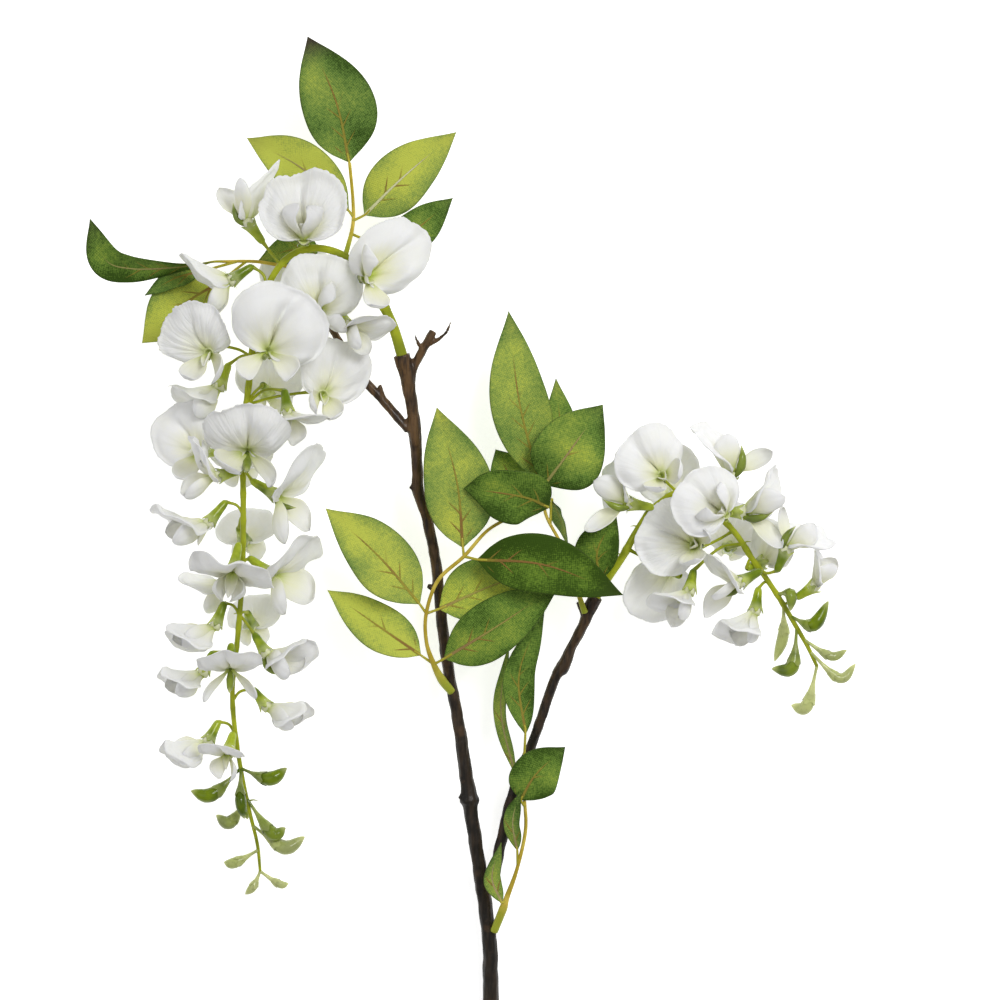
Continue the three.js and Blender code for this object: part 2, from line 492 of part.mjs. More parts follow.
function raceme(stemRows, florets, buds) {
  const path = smoothPath(stemRows, STEM_STEPS);
  return union([
    tube(path, STEM_SIDES),
    ...Object.values(florets).map((row) => pedicelAndCalyx(row, path)),
    ...buds.map((row) => bud(row, path)),
  ]);
}

// A leaf on its thin stalk: rounded at the base, pointed at the tip, folded a little along its midrib.
function leaf([from, rib, width, roll, tipRoll = roll, widestAt = WIDEST_AT]) {
  const curve = new THREE.CatmullRomCurve3(rib.map(vector), false, 'catmullrom');
  const tableNormal = new THREE.Vector3(0, 0, 1);
  const rows = [0, 0.1, 0.28, 0.5, 0.72].map((share) => {
    const middle = curve.getPoint(share);
    const along = curve.getTangent(share);
    const flat = tableNormal.clone().addScaledVector(along, -tableNormal.dot(along)).normalize();
    const normal = flat.applyAxisAngle(along, THREE.MathUtils.degToRad(lerp(roll, tipRoll, share)));
    const side = new THREE.Vector3().crossVectors(along, normal);
    const fromBase = (share / widestAt) ** NARROWING_TO_BASE;
    const fromTip = ((1 - share) / (1 - widestAt)) ** NARROWING_TO_TIP;
    const half = Math.max(0.5 * width * fromBase * fromTip, LEAF_STALK_HALF);
    return [-1, 0, 1].map((edge) => middle.clone().addScaledVector(side, half * edge)
      .addScaledVector(normal, LEAF_FOLD * half * Math.abs(edge)));
  });
  return blade([[vector(from)], ...rows, [curve.getPoint(1)]], LEAF_THICKNESS);
}

function leafSpray({ stalk, leaves }, clearOf) {
  const whole = union([tube(smoothPath(stalk, stalk.length - 1), STALK_SIDES), ...leaves.map(leaf)]);
  return clearOf.reduce((spray, keepOut) => spray.subtract(keepOut), whole);
}

// A tube round a branch or stem that keeps the clearance for what grips it.
function clearanceAround(rows, steps, sides) {
  return tube(smoothPath(rows.map(([x, y, z, r]) => [x, y, z, r + CLEARANCE]), steps), sides);
}

// ---------------------------------------------------------------- assembly
const group = new THREE.Group();

function addPiece(name, kind, body) {
  const { vertProperties, triVerts } = body.getMesh();
  const geometry = new THREE.BufferGeometry();
  geometry.setAttribute('position', new THREE.BufferAttribute(vertProperties, 3));
  geometry.setIndex(new THREE.BufferAttribute(triVerts, 1));
  geometry.computeVertexNormals();
  const [color, roughness] = COLOURS[kind];
  const mesh = new THREE.Mesh(geometry, new THREE.MeshStandardMaterial({ color, roughness, metalness: 0 }));
  mesh.name = name;
  group.add(mesh);
}

addPiece('branch', 'branch', branch());
addPiece('long_raceme_stem', 'stem', raceme(LONG_STEM, LONG_FLORETS, LONG_BUDS));
addPiece('short_raceme_stem', 'stem', raceme(SHORT_STEM, SHORT_FLORETS, SHORT_BUDS));

for (const [name, row] of Object.entries(LONG_FLORETS)) {
  addPiece(`long_floret_${name}`, 'petal', floretPetals(row));
}
for (const [name, row] of Object.entries(SHORT_FLORETS)) {
  addPiece(`short_floret_${name}`, 'petal', floretPetals(row));
}

const aroundBranch = [
  clearanceAround(MAIN_STEM, MAIN_STEPS, BRANCH_SIDES),
  clearanceAround(RIGHT_FORK, FORK_STEPS, BRANCH_SIDES),
];
const aroundLongStem = clearanceAround(LONG_STEM, STEM_STEPS, STEM_SIDES);
for (const [name, spray] of Object.entries(LEAF_SPRAYS)) {
  addPiece(`leaf_spray_${name}`, 'leaf', leafSpray(spray, [...aroundBranch, aroundLongStem]));
}

export default group;
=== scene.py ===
import math

import bpy
import numpy as np
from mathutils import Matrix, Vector


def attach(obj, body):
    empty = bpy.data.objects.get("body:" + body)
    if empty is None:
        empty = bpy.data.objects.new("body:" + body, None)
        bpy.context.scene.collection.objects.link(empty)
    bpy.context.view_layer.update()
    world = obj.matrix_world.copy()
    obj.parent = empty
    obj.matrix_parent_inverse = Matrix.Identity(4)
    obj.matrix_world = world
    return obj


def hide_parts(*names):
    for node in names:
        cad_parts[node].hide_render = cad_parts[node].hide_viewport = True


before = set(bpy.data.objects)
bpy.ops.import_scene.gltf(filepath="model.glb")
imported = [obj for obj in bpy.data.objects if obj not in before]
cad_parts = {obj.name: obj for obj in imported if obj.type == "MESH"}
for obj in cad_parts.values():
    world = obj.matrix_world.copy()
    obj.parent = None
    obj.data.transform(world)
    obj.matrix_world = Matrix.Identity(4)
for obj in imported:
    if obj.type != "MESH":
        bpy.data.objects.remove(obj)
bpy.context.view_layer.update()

# An artificial white wisteria spray that lies flat. Lengths are in millimetres until a piece is
# made, and then in metres. The floor and the lights are placed in metres.
MM = 0.001

# ---------------------------------------------------------------- layout
# Centre lines are [x, y, z, radius].
MAIN_STEM = [
  [9.5, -227, 3.8, 3.8], [8, -202, 5.2, 3.5], [7, -177.5, 7.4, 3.4], [6.5, -157.5, 9.4, 3.2],
  [4.5, -140, 11.4, 3.1], [1, -116.5, 14, 2.9], [-1.6, -99, 15.8, 3.0], [-2, -95, 16.2, 4.3],
  [-3, -87, 17, 3.0], [-7.5, -57.5, 20, 2.5], [-11, -39, 22, 2.4], [-13.5, -21, 24, 2.4],
  [-15, -4.5, 26, 2.4], [-16.5, 8, 27.2, 2.3], [-20, 25, 29.4, 2.3], [-23.5, 36.5, 30.8, 2.5],
  [-24, 50, 32, 2.3], [-25, 62, 33.2, 2.9], [-26, 70.5, 34, 2.5], [-27.8, 83, 35.6, 3.0],
  [-30.4, 93.5, 37, 3.5],
]
RIGHT_FORK = [
  [7, -134, 12, 2.4], [12.5, -108, 15, 2.4], [18, -87, 17.2, 2.3], [25.5, -68, 19.6, 2.1],
  [34, -43.5, 23, 2.1], [37.5, -38, 24, 3.0], [41, -30, 25.4, 2.1], [46, -20, 27.4, 2.2],
  [49, -12.5, 29, 2.9], [51.5, -8, 30, 2.9],
]
TWIGS = [
  [[-26.8, 80, 35.2, 2.0], [-25.5, 88, 35.6, 1.9], [-21.5, 95.5, 36, 1.8], [-17, 103.5, 36.4, 1.7]],
  [[-19.4, 97.4, 36.2, 1.1], [-12.5, 102, 37, 0.7], [-9.5, 107.5, 38, 0.4]],
  [[-21.8, 96, 36.6, 0.9], [-24, 99.5, 37.2, 0.6], [-25, 102.5, 37.6, 0.35]],
  [[-27.5, 62, 33.4, 2.0], [-37.5, 73.5, 33.6, 1.9], [-47.5, 84.5, 33.2, 1.9], [-54.5, 95.5, 30, 1.7],
    [-61.5, 107, 26, 1.5]],
]
NUBS = [
  [[-2, -96, 17, 1.8], [-6.2, -93, 18.4, 1.0]],
  [[-15, -6, 26, 1.5], [-19.6, -3.6, 27, 1.0]],
  [[-22.6, 35, 31, 1.4], [-26.8, 38.4, 32, 0.9]],
  [[-37.6, 73.5, 34, 1.3], [-39.6, 81, 35, 0.8]],
  [[47, -17, 27.6, 1.8], [44.2, -10.2, 28.6, 1.3]],
]

LONG_STEM = [
  [-29.4, 89.5, 36.5, 2.3], [-31, 96, 37.4, 2.3], [-35, 108, 39, 2.1], [-43, 123, 40.4, 1.8],
  [-54, 134.5, 41, 1.6], [-67, 138, 41, 1.5], [-78, 134, 40.2, 1.4], [-86, 123, 38.6, 1.35],
  [-91.5, 106, 36.6, 1.3], [-94, 86, 35, 1.3], [-97, 58, 33.8, 1.25], [-97, 28.5, 33, 1.2],
  [-97.5, 1.5, 32, 1.15], [-99.5, -24, 30, 1.1], [-102, -47, 27.4, 1.05], [-101, -66, 24.2, 1],
  [-98.5, -84, 20.2, 0.95], [-95.5, -100, 16, 0.85], [-92.5, -114, 12, 0.75], [-91.5, -126, 8.6, 0.6],
]
SHORT_STEM = [
  [49.6, -11.6, 29.2, 1.75], [52.8, -6, 30.5, 1.7], [56.5, 0, 31.8, 1.7], [62.5, 9, 34, 1.6],
  [68, 19, 36, 1.5], [75, 29, 37.6, 1.4], [85.5, 35.5, 38.4, 1.35], [96, 33, 37.8, 1.3],
  [104, 25, 36.4, 1.3], [111, 17, 34.8, 1.25], [116.5, 8.5, 33, 1.2], [122, 1, 31, 1.15],
  [127.5, -7, 28.6, 1.1], [132, -14, 26.2, 1.05], [136.5, -21.5, 23.6, 1], [141, -29, 20.6, 0.9],
  [145.5, -38, 17.2, 0.75],
]

# Florets: the centre of the calyx mouth, where the floret faces, where its standard stands,
# the width of the standard, how wide it opens (0 a closed hood, 1 flat open), how far the wings
# lift towards the standard (above 0) or droop away from it (below 0), and True where the solid has
# a keel.
LONG_FLORETS = {
  "a": [[-94, 148, 41], [-0.6, 0.8, 0.05], [0.8, 0.6, 0], 26, 0, 0.1, True],
  "b": [[-70.5, 141, 52], [-0.05, 0.1, 1], [0, 1, -0.1], 35, 0.9, 0.5, True],
  "c": [[-45, 125, 53.4], [0.3, -0.1, 0.95], [0.75, 0.65, 0], 36, 0.9, -0.1],
  "d": [[-64.5, 111, 42.5], [-0.05, -0.12, 1], [0.1, 1, 0.1], 33, 0.9, -0.1],
  "e": [[-53.5, 106, 43.5], [0.35, -0.75, 0.45], [0.9, 0.4, 0.25], 26, 0.4, 0],
  "f": [[-101, 125, 40], [-0.8, -0.55, 0.2], [-0.6, 0.75, 0.1], 28, 0.1, -0.2],
  "g": [[-110, 94.5, 42], [-0.4, -0.3, 0.9], [-0.45, 0.9, 0.1], 30, 0.9, -0.2],
  "h": [[-85.5, 94.5, 55], [0, -0.2, 0.97], [0.45, 0.88, 0.2], 41, 1, -0.4, True],
  "i": [[-107, 81, 30], [-0.35, -0.9, 0.2], [-0.95, 0.4, 0], 27, 0.5, 0.1],
  "j": [[-78, 70, 41], [0.15, -0.95, 0.2], [0.75, 0.2, 0.6], 24, 0.5, -0.1],
  "k": [[-64, 77, 36], [0.3, -0.15, 0.93], [0.4, 0.9, 0], 29, 0.9, -0.2],
  "l": [[-114.6, 52.6, 28.6], [-0.45, 0, 0.9], [-0.65, 0.75, 0.05], 30, 0.9, 0.2],
  "m": [[-94.5, 54, 44], [0, -0.6, 0.8], [0, 0.8, 0.6], 36, 0.9, 0.2, True],
  "n": [[-83.5, 35, 40], [0.85, -0.5, 0.2], [0.4, 0.9, 0.1], 37, 0.85, -0.4],
  "o": [[-111, 23.5, 36], [-0.6, -0.75, 0.2], [-0.8, 0.55, 0.2], 32, 0.4, -0.1],
  "p": [[-100.5, 4, 41], [-0.15, -0.9, 0.4], [0.15, 0.4, 0.9], 37, 0.7, -0.1],
  "q": [[-86, 2, 35], [0.75, -0.55, 0.3], [0.5, 0.8, 0.1], 33, 0.7, -0.2],
  "r": [[-108.5, -19.5, 34], [-0.35, -0.9, 0.2], [-0.9, 0.35, 0.2], 27, 0.5, 0.3],
  "s": [[-87.5, -31.5, 35], [0.5, -0.75, 0.4], [0.7, 0.65, 0.3], 28, 0.5, 0],
  "t": [[-114, -39.5, 28], [-0.4, -0.85, 0.25], [-0.95, 0.3, 0.2], 24, 0.5, 0.2],
  "u": [[-102, -36.5, 40], [0, -0.85, 0.5], [0, 0.5, 0.85], 27, 0.9, -0.3, True],
  "v": [[-88, -54, 28], [0.6, -0.75, 0.2], [0.75, 0.6, 0.2], 24, 0.2, 0.2],
  "w": [[-112.5, -69, 22], [-0.45, -0.85, 0.2], [-0.85, 0.45, 0.2], 24, 0.3, 0.2],
  "x": [[-103.5, -73, 30], [-0.2, -0.85, 0.45], [-0.3, 0.4, 0.85], 21, 0.7, -0.1],
  "y": [[-106, 42.6, 50.4], [-0.95, -0.25, 0.3], [-0.25, 0.9, 0.3], 26.5, 0.6, -0.1],
  "z": [[-105, -2, 29], [-0.5, -0.75, -0.3], [-0.85, 0.5, 0], 25, 0.5, 0.1],
  "back_1": [[-78, 120, 24], [0.1, 0.1, -1], [0.1, 1, 0], 30, 0.7, 0],
  "back_2": [[-88, 78, 20], [0.1, -0.3, -0.95], [0.1, 0.95, -0.3], 30, 0.7, 0],
  "back_3": [[-98, 48, 18], [-0.2, -0.4, -0.9], [-0.1, 0.9, -0.4], 28, 0.7, 0],
  "back_4": [[-98, 16, 17], [0.15, -0.5, -0.85], [0, 0.85, -0.5], 26, 0.7, 0],
  "back_5": [[-95, -20, 17], [0.1, -0.55, -0.8], [0, 0.8, -0.55], 24, 0.7, 0],
}
SHORT_FLORETS = {
  "a": [[65.5, 31, 43.4], [-0.93, 0.15, 0.25], [-0.1, 0.9, -0.45], 28.5, 0.5, -0.1, True],
  "b": [[78, 42.8, 50], [0.1, -0.1, 1], [-0.6, 0.75, 0.3], 29.5, 0.9, 0.1],
  "c": [[103.7, 27, 55.4], [0.1, -0.05, 1], [-0.82, 0.57, 0.15], 30, 0.9, 0.5],
  "d": [[93, 13.5, 40], [-0.2, 0.1, 0.95], [-0.9, 0.34, 0.12], 32, 0.8, 0],
  "e": [[107.5, 42.5, 42], [0.3, 0.93, 0.2], [-0.8, 0.25, -0.5], 33, 0.2, -0.1, True],
  "f": [[112, 27.5, 42], [0.95, 0, 0.3], [0.1, 0.95, -0.3], 31, 0.1, -0.1, True],
  "g": [[130.5, 11.5, 40], [0.35, 0.88, 0.3], [0.8, -0.3, -0.5], 27, 0.3, 0.1],
  "h": [[143, -4, 29], [0.75, 0.5, 0.2], [-0.6, 0.75, 0.1], 22, 0.1, 0.1],
  "i": [[84, 3, 27], [-0.2, 0.2, -0.9], [-0.45, -0.9, 0], 29, 0.8, 0],
  "j": [[112, -1.5, 40], [-0.85, -0.45, 0.3], [-0.3, 0.75, 0.5], 27, 0.4, 0, True],
  "k": [[118.5, -13.5, 31], [-0.15, -0.97, 0.2], [-0.85, 0.2, 0.45], 25, 0.3, 0.2],
  "l": [[90.5, -5, 37], [-0.2, -0.9, 0.35], [-0.85, 0.3, 0.4], 24, 0.4, 0.1],
  "m": [[121, 6, 26], [0.6, 0.2, -0.6], [0.2, 0.9, 0.3], 24, 0.5, 0],
  "back_1": [[84, 33, 18], [-0.1, 0.2, -0.95], [-0.1, 1, 0.1], 29, 0.7, 0],
  "back_2": [[108, 12, 16.4], [0.1, 0, -1], [0.3, 0.95, 0], 27, 0.7, 0],
}

# Claw-shaped buds: base, belly, tip, and the radius of the belly.
LONG_BUDS = [
  [[-98.5, -76, 24], [-86.5, -85, 27], [-79, -80.5, 27], 2.5],
  [[-100.5, -80, 22], [-111, -92, 23], [-120, -90.5, 23], 2.5],
  [[-101, -93, 20], [-103.5, -104, 20], [-109.5, -101, 20], 2.3],
  [[-98, -84, 24], [-98.5, -94, 29], [-97, -102, 27], 1.9],
  [[-97, -92, 17], [-86, -108.5, 19], [-80, -106.5, 19], 2.4],
  [[-94, -106, 15], [-81, -115, 16], [-72, -110.5, 16], 2.5],
  [[-93.5, -114, 12], [-102, -122, 11], [-107, -122, 10], 1.9],
  [[-91.8, -125, 9], [-94.5, -132.5, 8], [-98, -136, 7], 1.5],
  [[-91.8, -124, 9], [-83.5, -131.5, 7], [-79.5, -131.5, 6], 1.4],
  [[-97, -88, 18], [-99, -96, 9], [-97, -104, 6], 2.0],
]
SHORT_BUDS = [
  [[128, -7, 28], [133, -7, 33], [133, -14, 34], 1.9],
  [[133, -15, 26], [143, -20, 28], [149.5, -10, 28], 2.4],
  [[131, -13, 25], [131, -25, 19], [127.5, -36, 17], 2.0],
  [[136, -21, 24], [134.5, -38, 22], [126, -39, 21], 2.5],
  [[141, -29, 21], [151, -33.5, 21], [158, -31, 20], 1.6],
  [[143.5, -34, 19], [155, -43, 18], [162, -37, 17], 1.8],
  [[145, -38, 17], [141.5, -55, 13], [135, -55, 11], 2.3],
]

# How pale each bud is.
LONG_BUD_TONES = [0.0, 0.0, 0.25, 0.0, 0.05, 0.4, 0.45, 0.6, 0.6, 0.0]
SHORT_BUD_TONES = [0.1, 0.0, 0.5, 0.05, 0.4, 0.5, 0.6]

# Leaf sprays: the centre line of the main stalk, then for each leaf the place on that stalk where
# it starts, its midrib from base to tip, its full width, and its roll about the midrib in degrees.
# A leaf that twists has its roll at its tip too, and then the share of its length where it is widest.
LEAF_SPRAYS = {
  "top": {
    "stalk": [[-53.6, 135.6, 40.4, 1.1], [-51, 148, 33, 0.8], [-51, 158.5, 31, 0.7], [-52.4, 174.5, 32, 0.7]],
    "leaves": [
      [[-52.2, 172, 32], [[-52.6, 175, 32], [-58, 200, 36], [-70, 227.5, 33]], 31, 6],
      [[-51, 152, 32.2], [[-53, 154.6, 31.6], [-72, 172, 31], [-96, 185.5, 26]], 24, -18],
      [[-51, 150, 32.6], [[-46, 152.6, 32], [-30, 168, 35], [-7.5, 187.5, 31]], 24, 10],
      [[-51.6, 144.4, 35], [[-38, 139, 31], [-24, 147, 31], [-9, 160, 28]], 17, 14],
    ],
  },
  "left": {
    "stalk": [[-71, 136, 39, 1.2], [-76, 131, 33, 0.8], [-92, 133, 31, 0.7], [-106, 133, 31, 0.6]],
    "leaves": [
      [[-76, 131.4, 32.8], [[-66, 133, 30], [-76, 138, 28], [-91, 134, 26]], 15, 0],
      [[-104, 133, 31], [[-109, 133, 31], [-127, 130.5, 32], [-145, 130, 34], [-155, 134, 37],
        [-161, 150.5, 38]], 14.5, -88, 12, 0.68],
      [[-96, 133, 31], [[-107.6, 124.4, 28], [-124, 114, 28], [-140.5, 99, 24]], 26, 12],
      [[-100, 133, 31], [[-115.6, 128.8, 29], [-126, 126, 29], [-139, 119, 27]], 11, 30],
    ],
  },
  "middle": {
    "stalk": [[-9.6, -48.5, 22.4, 1.8], [-13.6, -43.4, 26, 1.9], [-17, -36.6, 31, 1.2], [-20, -27, 35, 0.8],
      [-20, -14.8, 38, 0.8], [-15, -1, 41, 0.8], [-4, 9.2, 43, 0.8], [6.6, 20.6, 44, 0.7],
      [20, 27, 44, 0.7], [30, 29, 45.4, 0.7]],
    "leaves": [
      [[-4.2, 9, 43], [[-4.6, 13, 43.4], [-7, 40, 49], [-15.5, 71.2, 44]], 29, -6],
      [[-20, -15, 38], [[-23, -10.8, 37], [-40, 9, 37], [-62.5, 29, 30]], 26, 8],
      [[-17.2, -36.4, 31], [[-22.6, -32.6, 32], [-41, -20, 32], [-62, -5.5, 26]], 20, 14],
      [[28, 28.7, 45.2], [[31, 29.6, 46.4], [22, 33.5, 54], [8, 36, 56], [-4.2, 37.4, 51]], 24, -16],
      [[-4.2, 9, 43], [[1.6, 7.8, 45.6], [30, 5.5, 54], [62.2, -7, 47]], 25, 8],
      [[-20, -15, 38], [[-14.4, -13, 37], [6, -4, 36], [28, 4, 33]], 27, -8],
      [[-17, -36.6, 31.4], [[-12.4, -34, 34], [10, -20, 43], [36, -2.6, 43.5]], 24, -8],
    ],
  },
  "right": {
    "stalk": [[46.6, -14.8, 31.4, 1.4], [44, -7, 34, 1.0], [40, 8, 35, 0.8], [35, 17, 36, 0.7],
      [30, 27, 36, 0.7], [29.5, 37, 36, 0.6]],
    "leaves": [
      [[29.5, 36, 36], [[29.6, 39, 36.4], [40, 53, 41], [54, 72.6, 37]], 31, 6],
      [[29.6, 35, 36], [[27.4, 41, 33.4], [19, 74, 32], [14.5, 112.4, 26]], 25, 4],
      [[29.6, 35, 36], [[33.4, 43.4, 31.4], [36, 62, 27], [34.6, 84, 22]], 16, 30],
      [[29.8, 32, 36], [[24.4, 33.8, 32], [16, 42, 28], [9, 54, 24]], 20, -10],
      [[32, 22.4, 36], [[32.6, 32.6, 35], [36, 26, 33], [39.4, 13.6, 31]], 15, 76],
      [[44, -7, 34], [[52.6, -0.6, 35.4], [52, 12, 37], [59.8, 26, 35]], 19, -12],
    ],
  },
  "lower": {
    "stalk": [[8.4, -151, 13.2, 1.7], [12.2, -141, 17.6, 1.8], [13.8, -136, 19.4, 1.2], [18, -124, 21.6, 0.8],
      [21.6, -108, 23.4, 0.8], [21.4, -96, 25, 0.7], [20.2, -88, 26, 0.6]],
    "leaves": [
      [[20.4, -90, 25.8], [[17.4, -83.4, 26], [11.4, -56, 27], [14.6, -28.6, 25]], 9, -52],
      [[20.3, -89, 25.9], [[21.6, -66, 28.4], [19, -40, 31], [29.6, -14, 29]], 15, 28],
      [[21.4, -97, 25], [[19.6, -94, 26.8], [26, -83, 30], [38.4, -71.6, 27]], 21, 10],
      [[18.4, -122, 22], [[18.2, -115.6, 23.2], [16.4, -103, 26], [19.4, -90.6, 29]], 9, -40],
      [[13.6, -137, 19], [[11.6, -138, 21.4], [7.4, -127, 22], [11.4, -112.4, 23]], 9, 40],
    ],
  },
}

# How each leaf is printed and shaded: how yellow, how dark (its darker print, and painted shade where it lies
# in the shade of other leaves), how brown its tip is, and how pale its midrib is, all from 0 to 1.
LEAF_PRINTS_AND_SHADE = {
  "top": [[0.15, 0.3, 1.0, 0], [0.75, 0.05, 0.3, 0.2], [0.55, 0.1, 0.2, 1], [0.3, 0.5, 0.2, 0]],
  "left": [[0.4, 0.4, 0.3, 0], [0.3, 0.7, 0.3, 0.2], [0.6, 0.2, 0.2, 0], [0.3, 0.4, 0.2, 0]],
  "middle": [
    [0.4, 0.15, 0.2, 0], [0.55, 0.05, 0.1, 0], [0.65, 0.05, 0.1, 0], [0.3, 0.75, 0.1, 0],
    [0.1, 1.0, 0.2, 0], [0.7, 0.45, 0.1, 0.1], [0.3, 0.65, 0.2, 0.1],
  ],
  "right": [
    [0.3, 0.5, 0.2, 0.2], [0.38, 0.2, 0.2, 0], [0.3, 0.5, 0.3, 0], [0.3, 0.5, 0.1, 0],
    [0.4, 0.3, 0.1, 0], [0.4, 0.75, 0.3, 0],
  ],
  "lower": [
    [0.3, 0.4, 0.2, 0.3], [0.3, 0.6, 0.1, 0], [0.3, 0.7, 0.1, 0], [0.3, 0.4, 0.2, 0.3],
    [0.3, 0.4, 0.2, 0.3],
  ],
}

# ---------------------------------------------------------------- the sizes that the solids have too
CALYX_LENGTH = 10.0
STANDARD_REACH = 0.86
STANDARD_TAPER = 0.72
STANDARD_FAN = math.radians(112)
NOTCH_DEPTH = 0.05
NOTCH_HALF_ANGLE = 0.3
PLEAT_HEIGHT = 0.02
WING_LENGTH = 0.56
KEEL_LENGTH = 0.45
LEAF_FOLD = 0.14
# Rows of [share of a leaf's length, half its width there as a share of its widest, 0].
LEAF_OUTLINE = [
  [0, 0.04, 0], [0.04, 0.22, 0], [0.1, 0.48, 0], [0.2, 0.77, 0], [0.32, 0.95, 0], [0.44, 1, 0],
  [0.57, 0.94, 0], [0.7, 0.77, 0], [0.82, 0.50, 0], [0.92, 0.22, 0], [1, 0, 0],
]


# ---------------------------------------------------------------- curves and sheets of points
def unit(v):
    v = np.asarray(v, float)
    return v / np.linalg.norm(v, axis=-1, keepdims=True)


def lerp(a, b, share):
    return a + (b - a) * share


def smoothstep(x, low, high):
    t = np.clip((np.asarray(x, float) - low) / (high - low), 0, 1)
    return t * t * (3 - 2 * t)


def hump(x, middle, half_width):
    """1 at the middle, and falling off to nothing a few half widths away."""
    return np.exp(-(((x - middle) / half_width) ** 2))


def smooth_points(points, shares):
    """Points on the smooth curve through the given points, at shares of their count."""
    p = np.asarray(points, float)[:, :3]
    p = np.vstack([2 * p[0] - p[1], p, 2 * p[-1] - p[-2]])
    place = np.clip(np.asarray(shares, float), 0, 1) * (len(p) - 3)
    row = np.minimum(place.astype(int), len(p) - 4)
    t = (place - row)[:, None]
    before, start, end, after = p[row], p[row + 1], p[row + 2], p[row + 3]
    return (
        start
        + 0.5 * t * (end - before)
        + t**2 * (before - 2.5 * start + 2 * end - 0.5 * after)
        + t**3 * (-0.5 * before + 1.5 * start - 1.5 * end + 0.5 * after)
    )


def smooth_path(rows, steps):
    """Points and radii along rows of [x, y, z, radius]."""
    shares = np.linspace(0, 1, steps + 1)
    radii = np.interp(shares * (len(rows) - 1), range(len(rows)), [row[3] for row in rows])
    return smooth_points(rows, shares), radii


def directions(points):
    return unit(np.gradient(points, axis=0))


def around(points):
    """Two directions across a path at each of its points, carried along it without a twist."""
    ahead = directions(points)
    across = np.array([0, 0, 1.0])
    if abs(ahead[0] @ across) > 0.9:
        across = np.array([1.0, 0, 0])
    carried = []
    for direction in ahead:
        across = unit(across - (across @ direction) * direction)
        carried.append(across)
    carried = np.array(carried)
    return carried, np.cross(ahead, carried)


def circle(sides):
    """The angles at which a ring of points lies."""
    return np.arange(sides) / sides * 2 * math.pi


def sheet(rows, columns, first=0.0, half=1.0):
    """Shares down a sheet of points, from the first to 1, and places across it, from -half to half."""
    return np.linspace(first, 1, rows)[:, None], np.linspace(-half, half, columns)[None, :]


def moved(line, *moves):
    """A grid of points: a row for each point of a line, moved by amounts in directions."""
    points = line[:, None, :]
    for amounts, direction in moves:
        points = points + amounts[:, :, None] * np.atleast_2d(direction)[:, None, :]
    return points


def rings(line, radius, angle, flatness, *moves):
    """Rings of points round a line. They may be flattened across it, and then moved."""
    across, other = around(line)
    circles = [(radius * np.cos(angle), across), (radius * np.sin(angle) * flatness, other)]
    return moved(line, *circles, *moves)


def add_object(name, data):
    """An object with that data, in the scene."""
    made = bpy.data.objects.new(name, data)
    bpy.context.scene.collection.objects.link(made)
    return made


def carry(mesh, name, values):
    """Gives the mesh a value at each point, which its finish reads."""
    attribute = mesh.attributes.new(name, "FLOAT", "POINT")
    attribute.data.foreach_set("value", values.astype(np.float32))


class Form:
    """Gathers the grids of points that make one piece, with the values that its finish reads."""

    def __init__(self):
        self.points = []
        self.faces = []
        self.values = {}
        self.count = 0

    def grid(self, points, closed=False, capped=False, **values):
        """Adds a grid of points. It may be closed round its rows, with caps on the first and last."""
        rows, columns = points.shape[:2]
        index = self.count + np.arange(rows * columns).reshape(rows, columns)
        here = index if closed else index[:, :-1]
        beside = np.roll(index, -1, axis=1) if closed else index[:, 1:]
        quads = np.stack([here[:-1], beside[:-1], beside[1:], here[1:]], axis=-1)
        self.faces += quads.reshape(-1, 4).tolist()
        if capped:
            self.faces += [index[0][::-1].tolist(), index[-1].tolist()]
        self.points.append(points.reshape(-1, 3))
        for name, value in values.items():
            spread = np.broadcast_to(value, (rows, columns)).reshape(-1)
            self.values.setdefault(name, []).append(spread)
        self.count += rows * columns

    def rod(self, line, radii, sides, flatness=1.0, rib_height=0.0, **values):
        """A closed rod along a line, with five ribs if they have a height."""
        angle = circle(sides)
        radius = radii[:, None] * (1 + rib_height * np.cos(5 * angle)[None, :])
        self.grid(rings(line, radius, angle, flatness), closed=True, capped=True, **values)

    def piece(self, name, node, slot, finish, thickness=0.0):
        """Makes the piece, in metres, in place of a node of the part."""
        mesh = bpy.data.meshes.new(name)
        mesh.from_pydata((np.vstack(self.points) * MM).tolist(), [], self.faces)
        for key, parts in self.values.items():
            carry(mesh, key, np.concatenate(parts))
        mesh.materials.append(finish)
        mesh.shade_smooth()
        mesh.update()
        made = add_object(name, mesh)
        if thickness:
            cloth = made.modifiers.new("cloth thickness", "SOLIDIFY")
            cloth.thickness = thickness * MM
            cloth.offset = 0
        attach(made, "root")
        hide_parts(node)
        return made


# ---------------------------------------------------------------- finishes
def operator(operation, swapped=False):
    """A method of a socket that adds the Math node of an operation."""

    def method(self, *others):
        values = [*others, self] if swapped else [self, *others]
        return self.finish.node("ShaderNodeMath", {"operation": operation}, *values)

    return method


class Socket:
    """An output in a finish's node tree. Sums and products of it add the nodes that work them out."""

    def __init__(self, finish, output):
        self.finish = finish
        self.output = output

    __add__ = __radd__ = operator("ADD")
    __mul__ = __rmul__ = operator("MULTIPLY")
    __sub__ = operator("SUBTRACT")
    __rsub__ = operator("SUBTRACT", swapped=True)
    __truediv__ = operator("DIVIDE")
    __rtruediv__ = operator("DIVIDE", swapped=True)
    __abs__ = operator("ABSOLUTE")
    sine = operator("SINE")
    largest = operator("MAXIMUM")
    whole = operator("FLOOR")
    rest = operator("FRACT")

    def out(self, name):
        return Socket(self.finish, self.output.node.outputs[name])

    def rise(self, low, high):
        """0 below low, 1 above high and smooth between them; low may be above high."""
        if low > high:
            return 1 - self.rise(high, low)
        settings = {"interpolation_type": "SMOOTHSTEP"}
        return self.finish.node("ShaderNodeMapRange", settings, self, low, high)


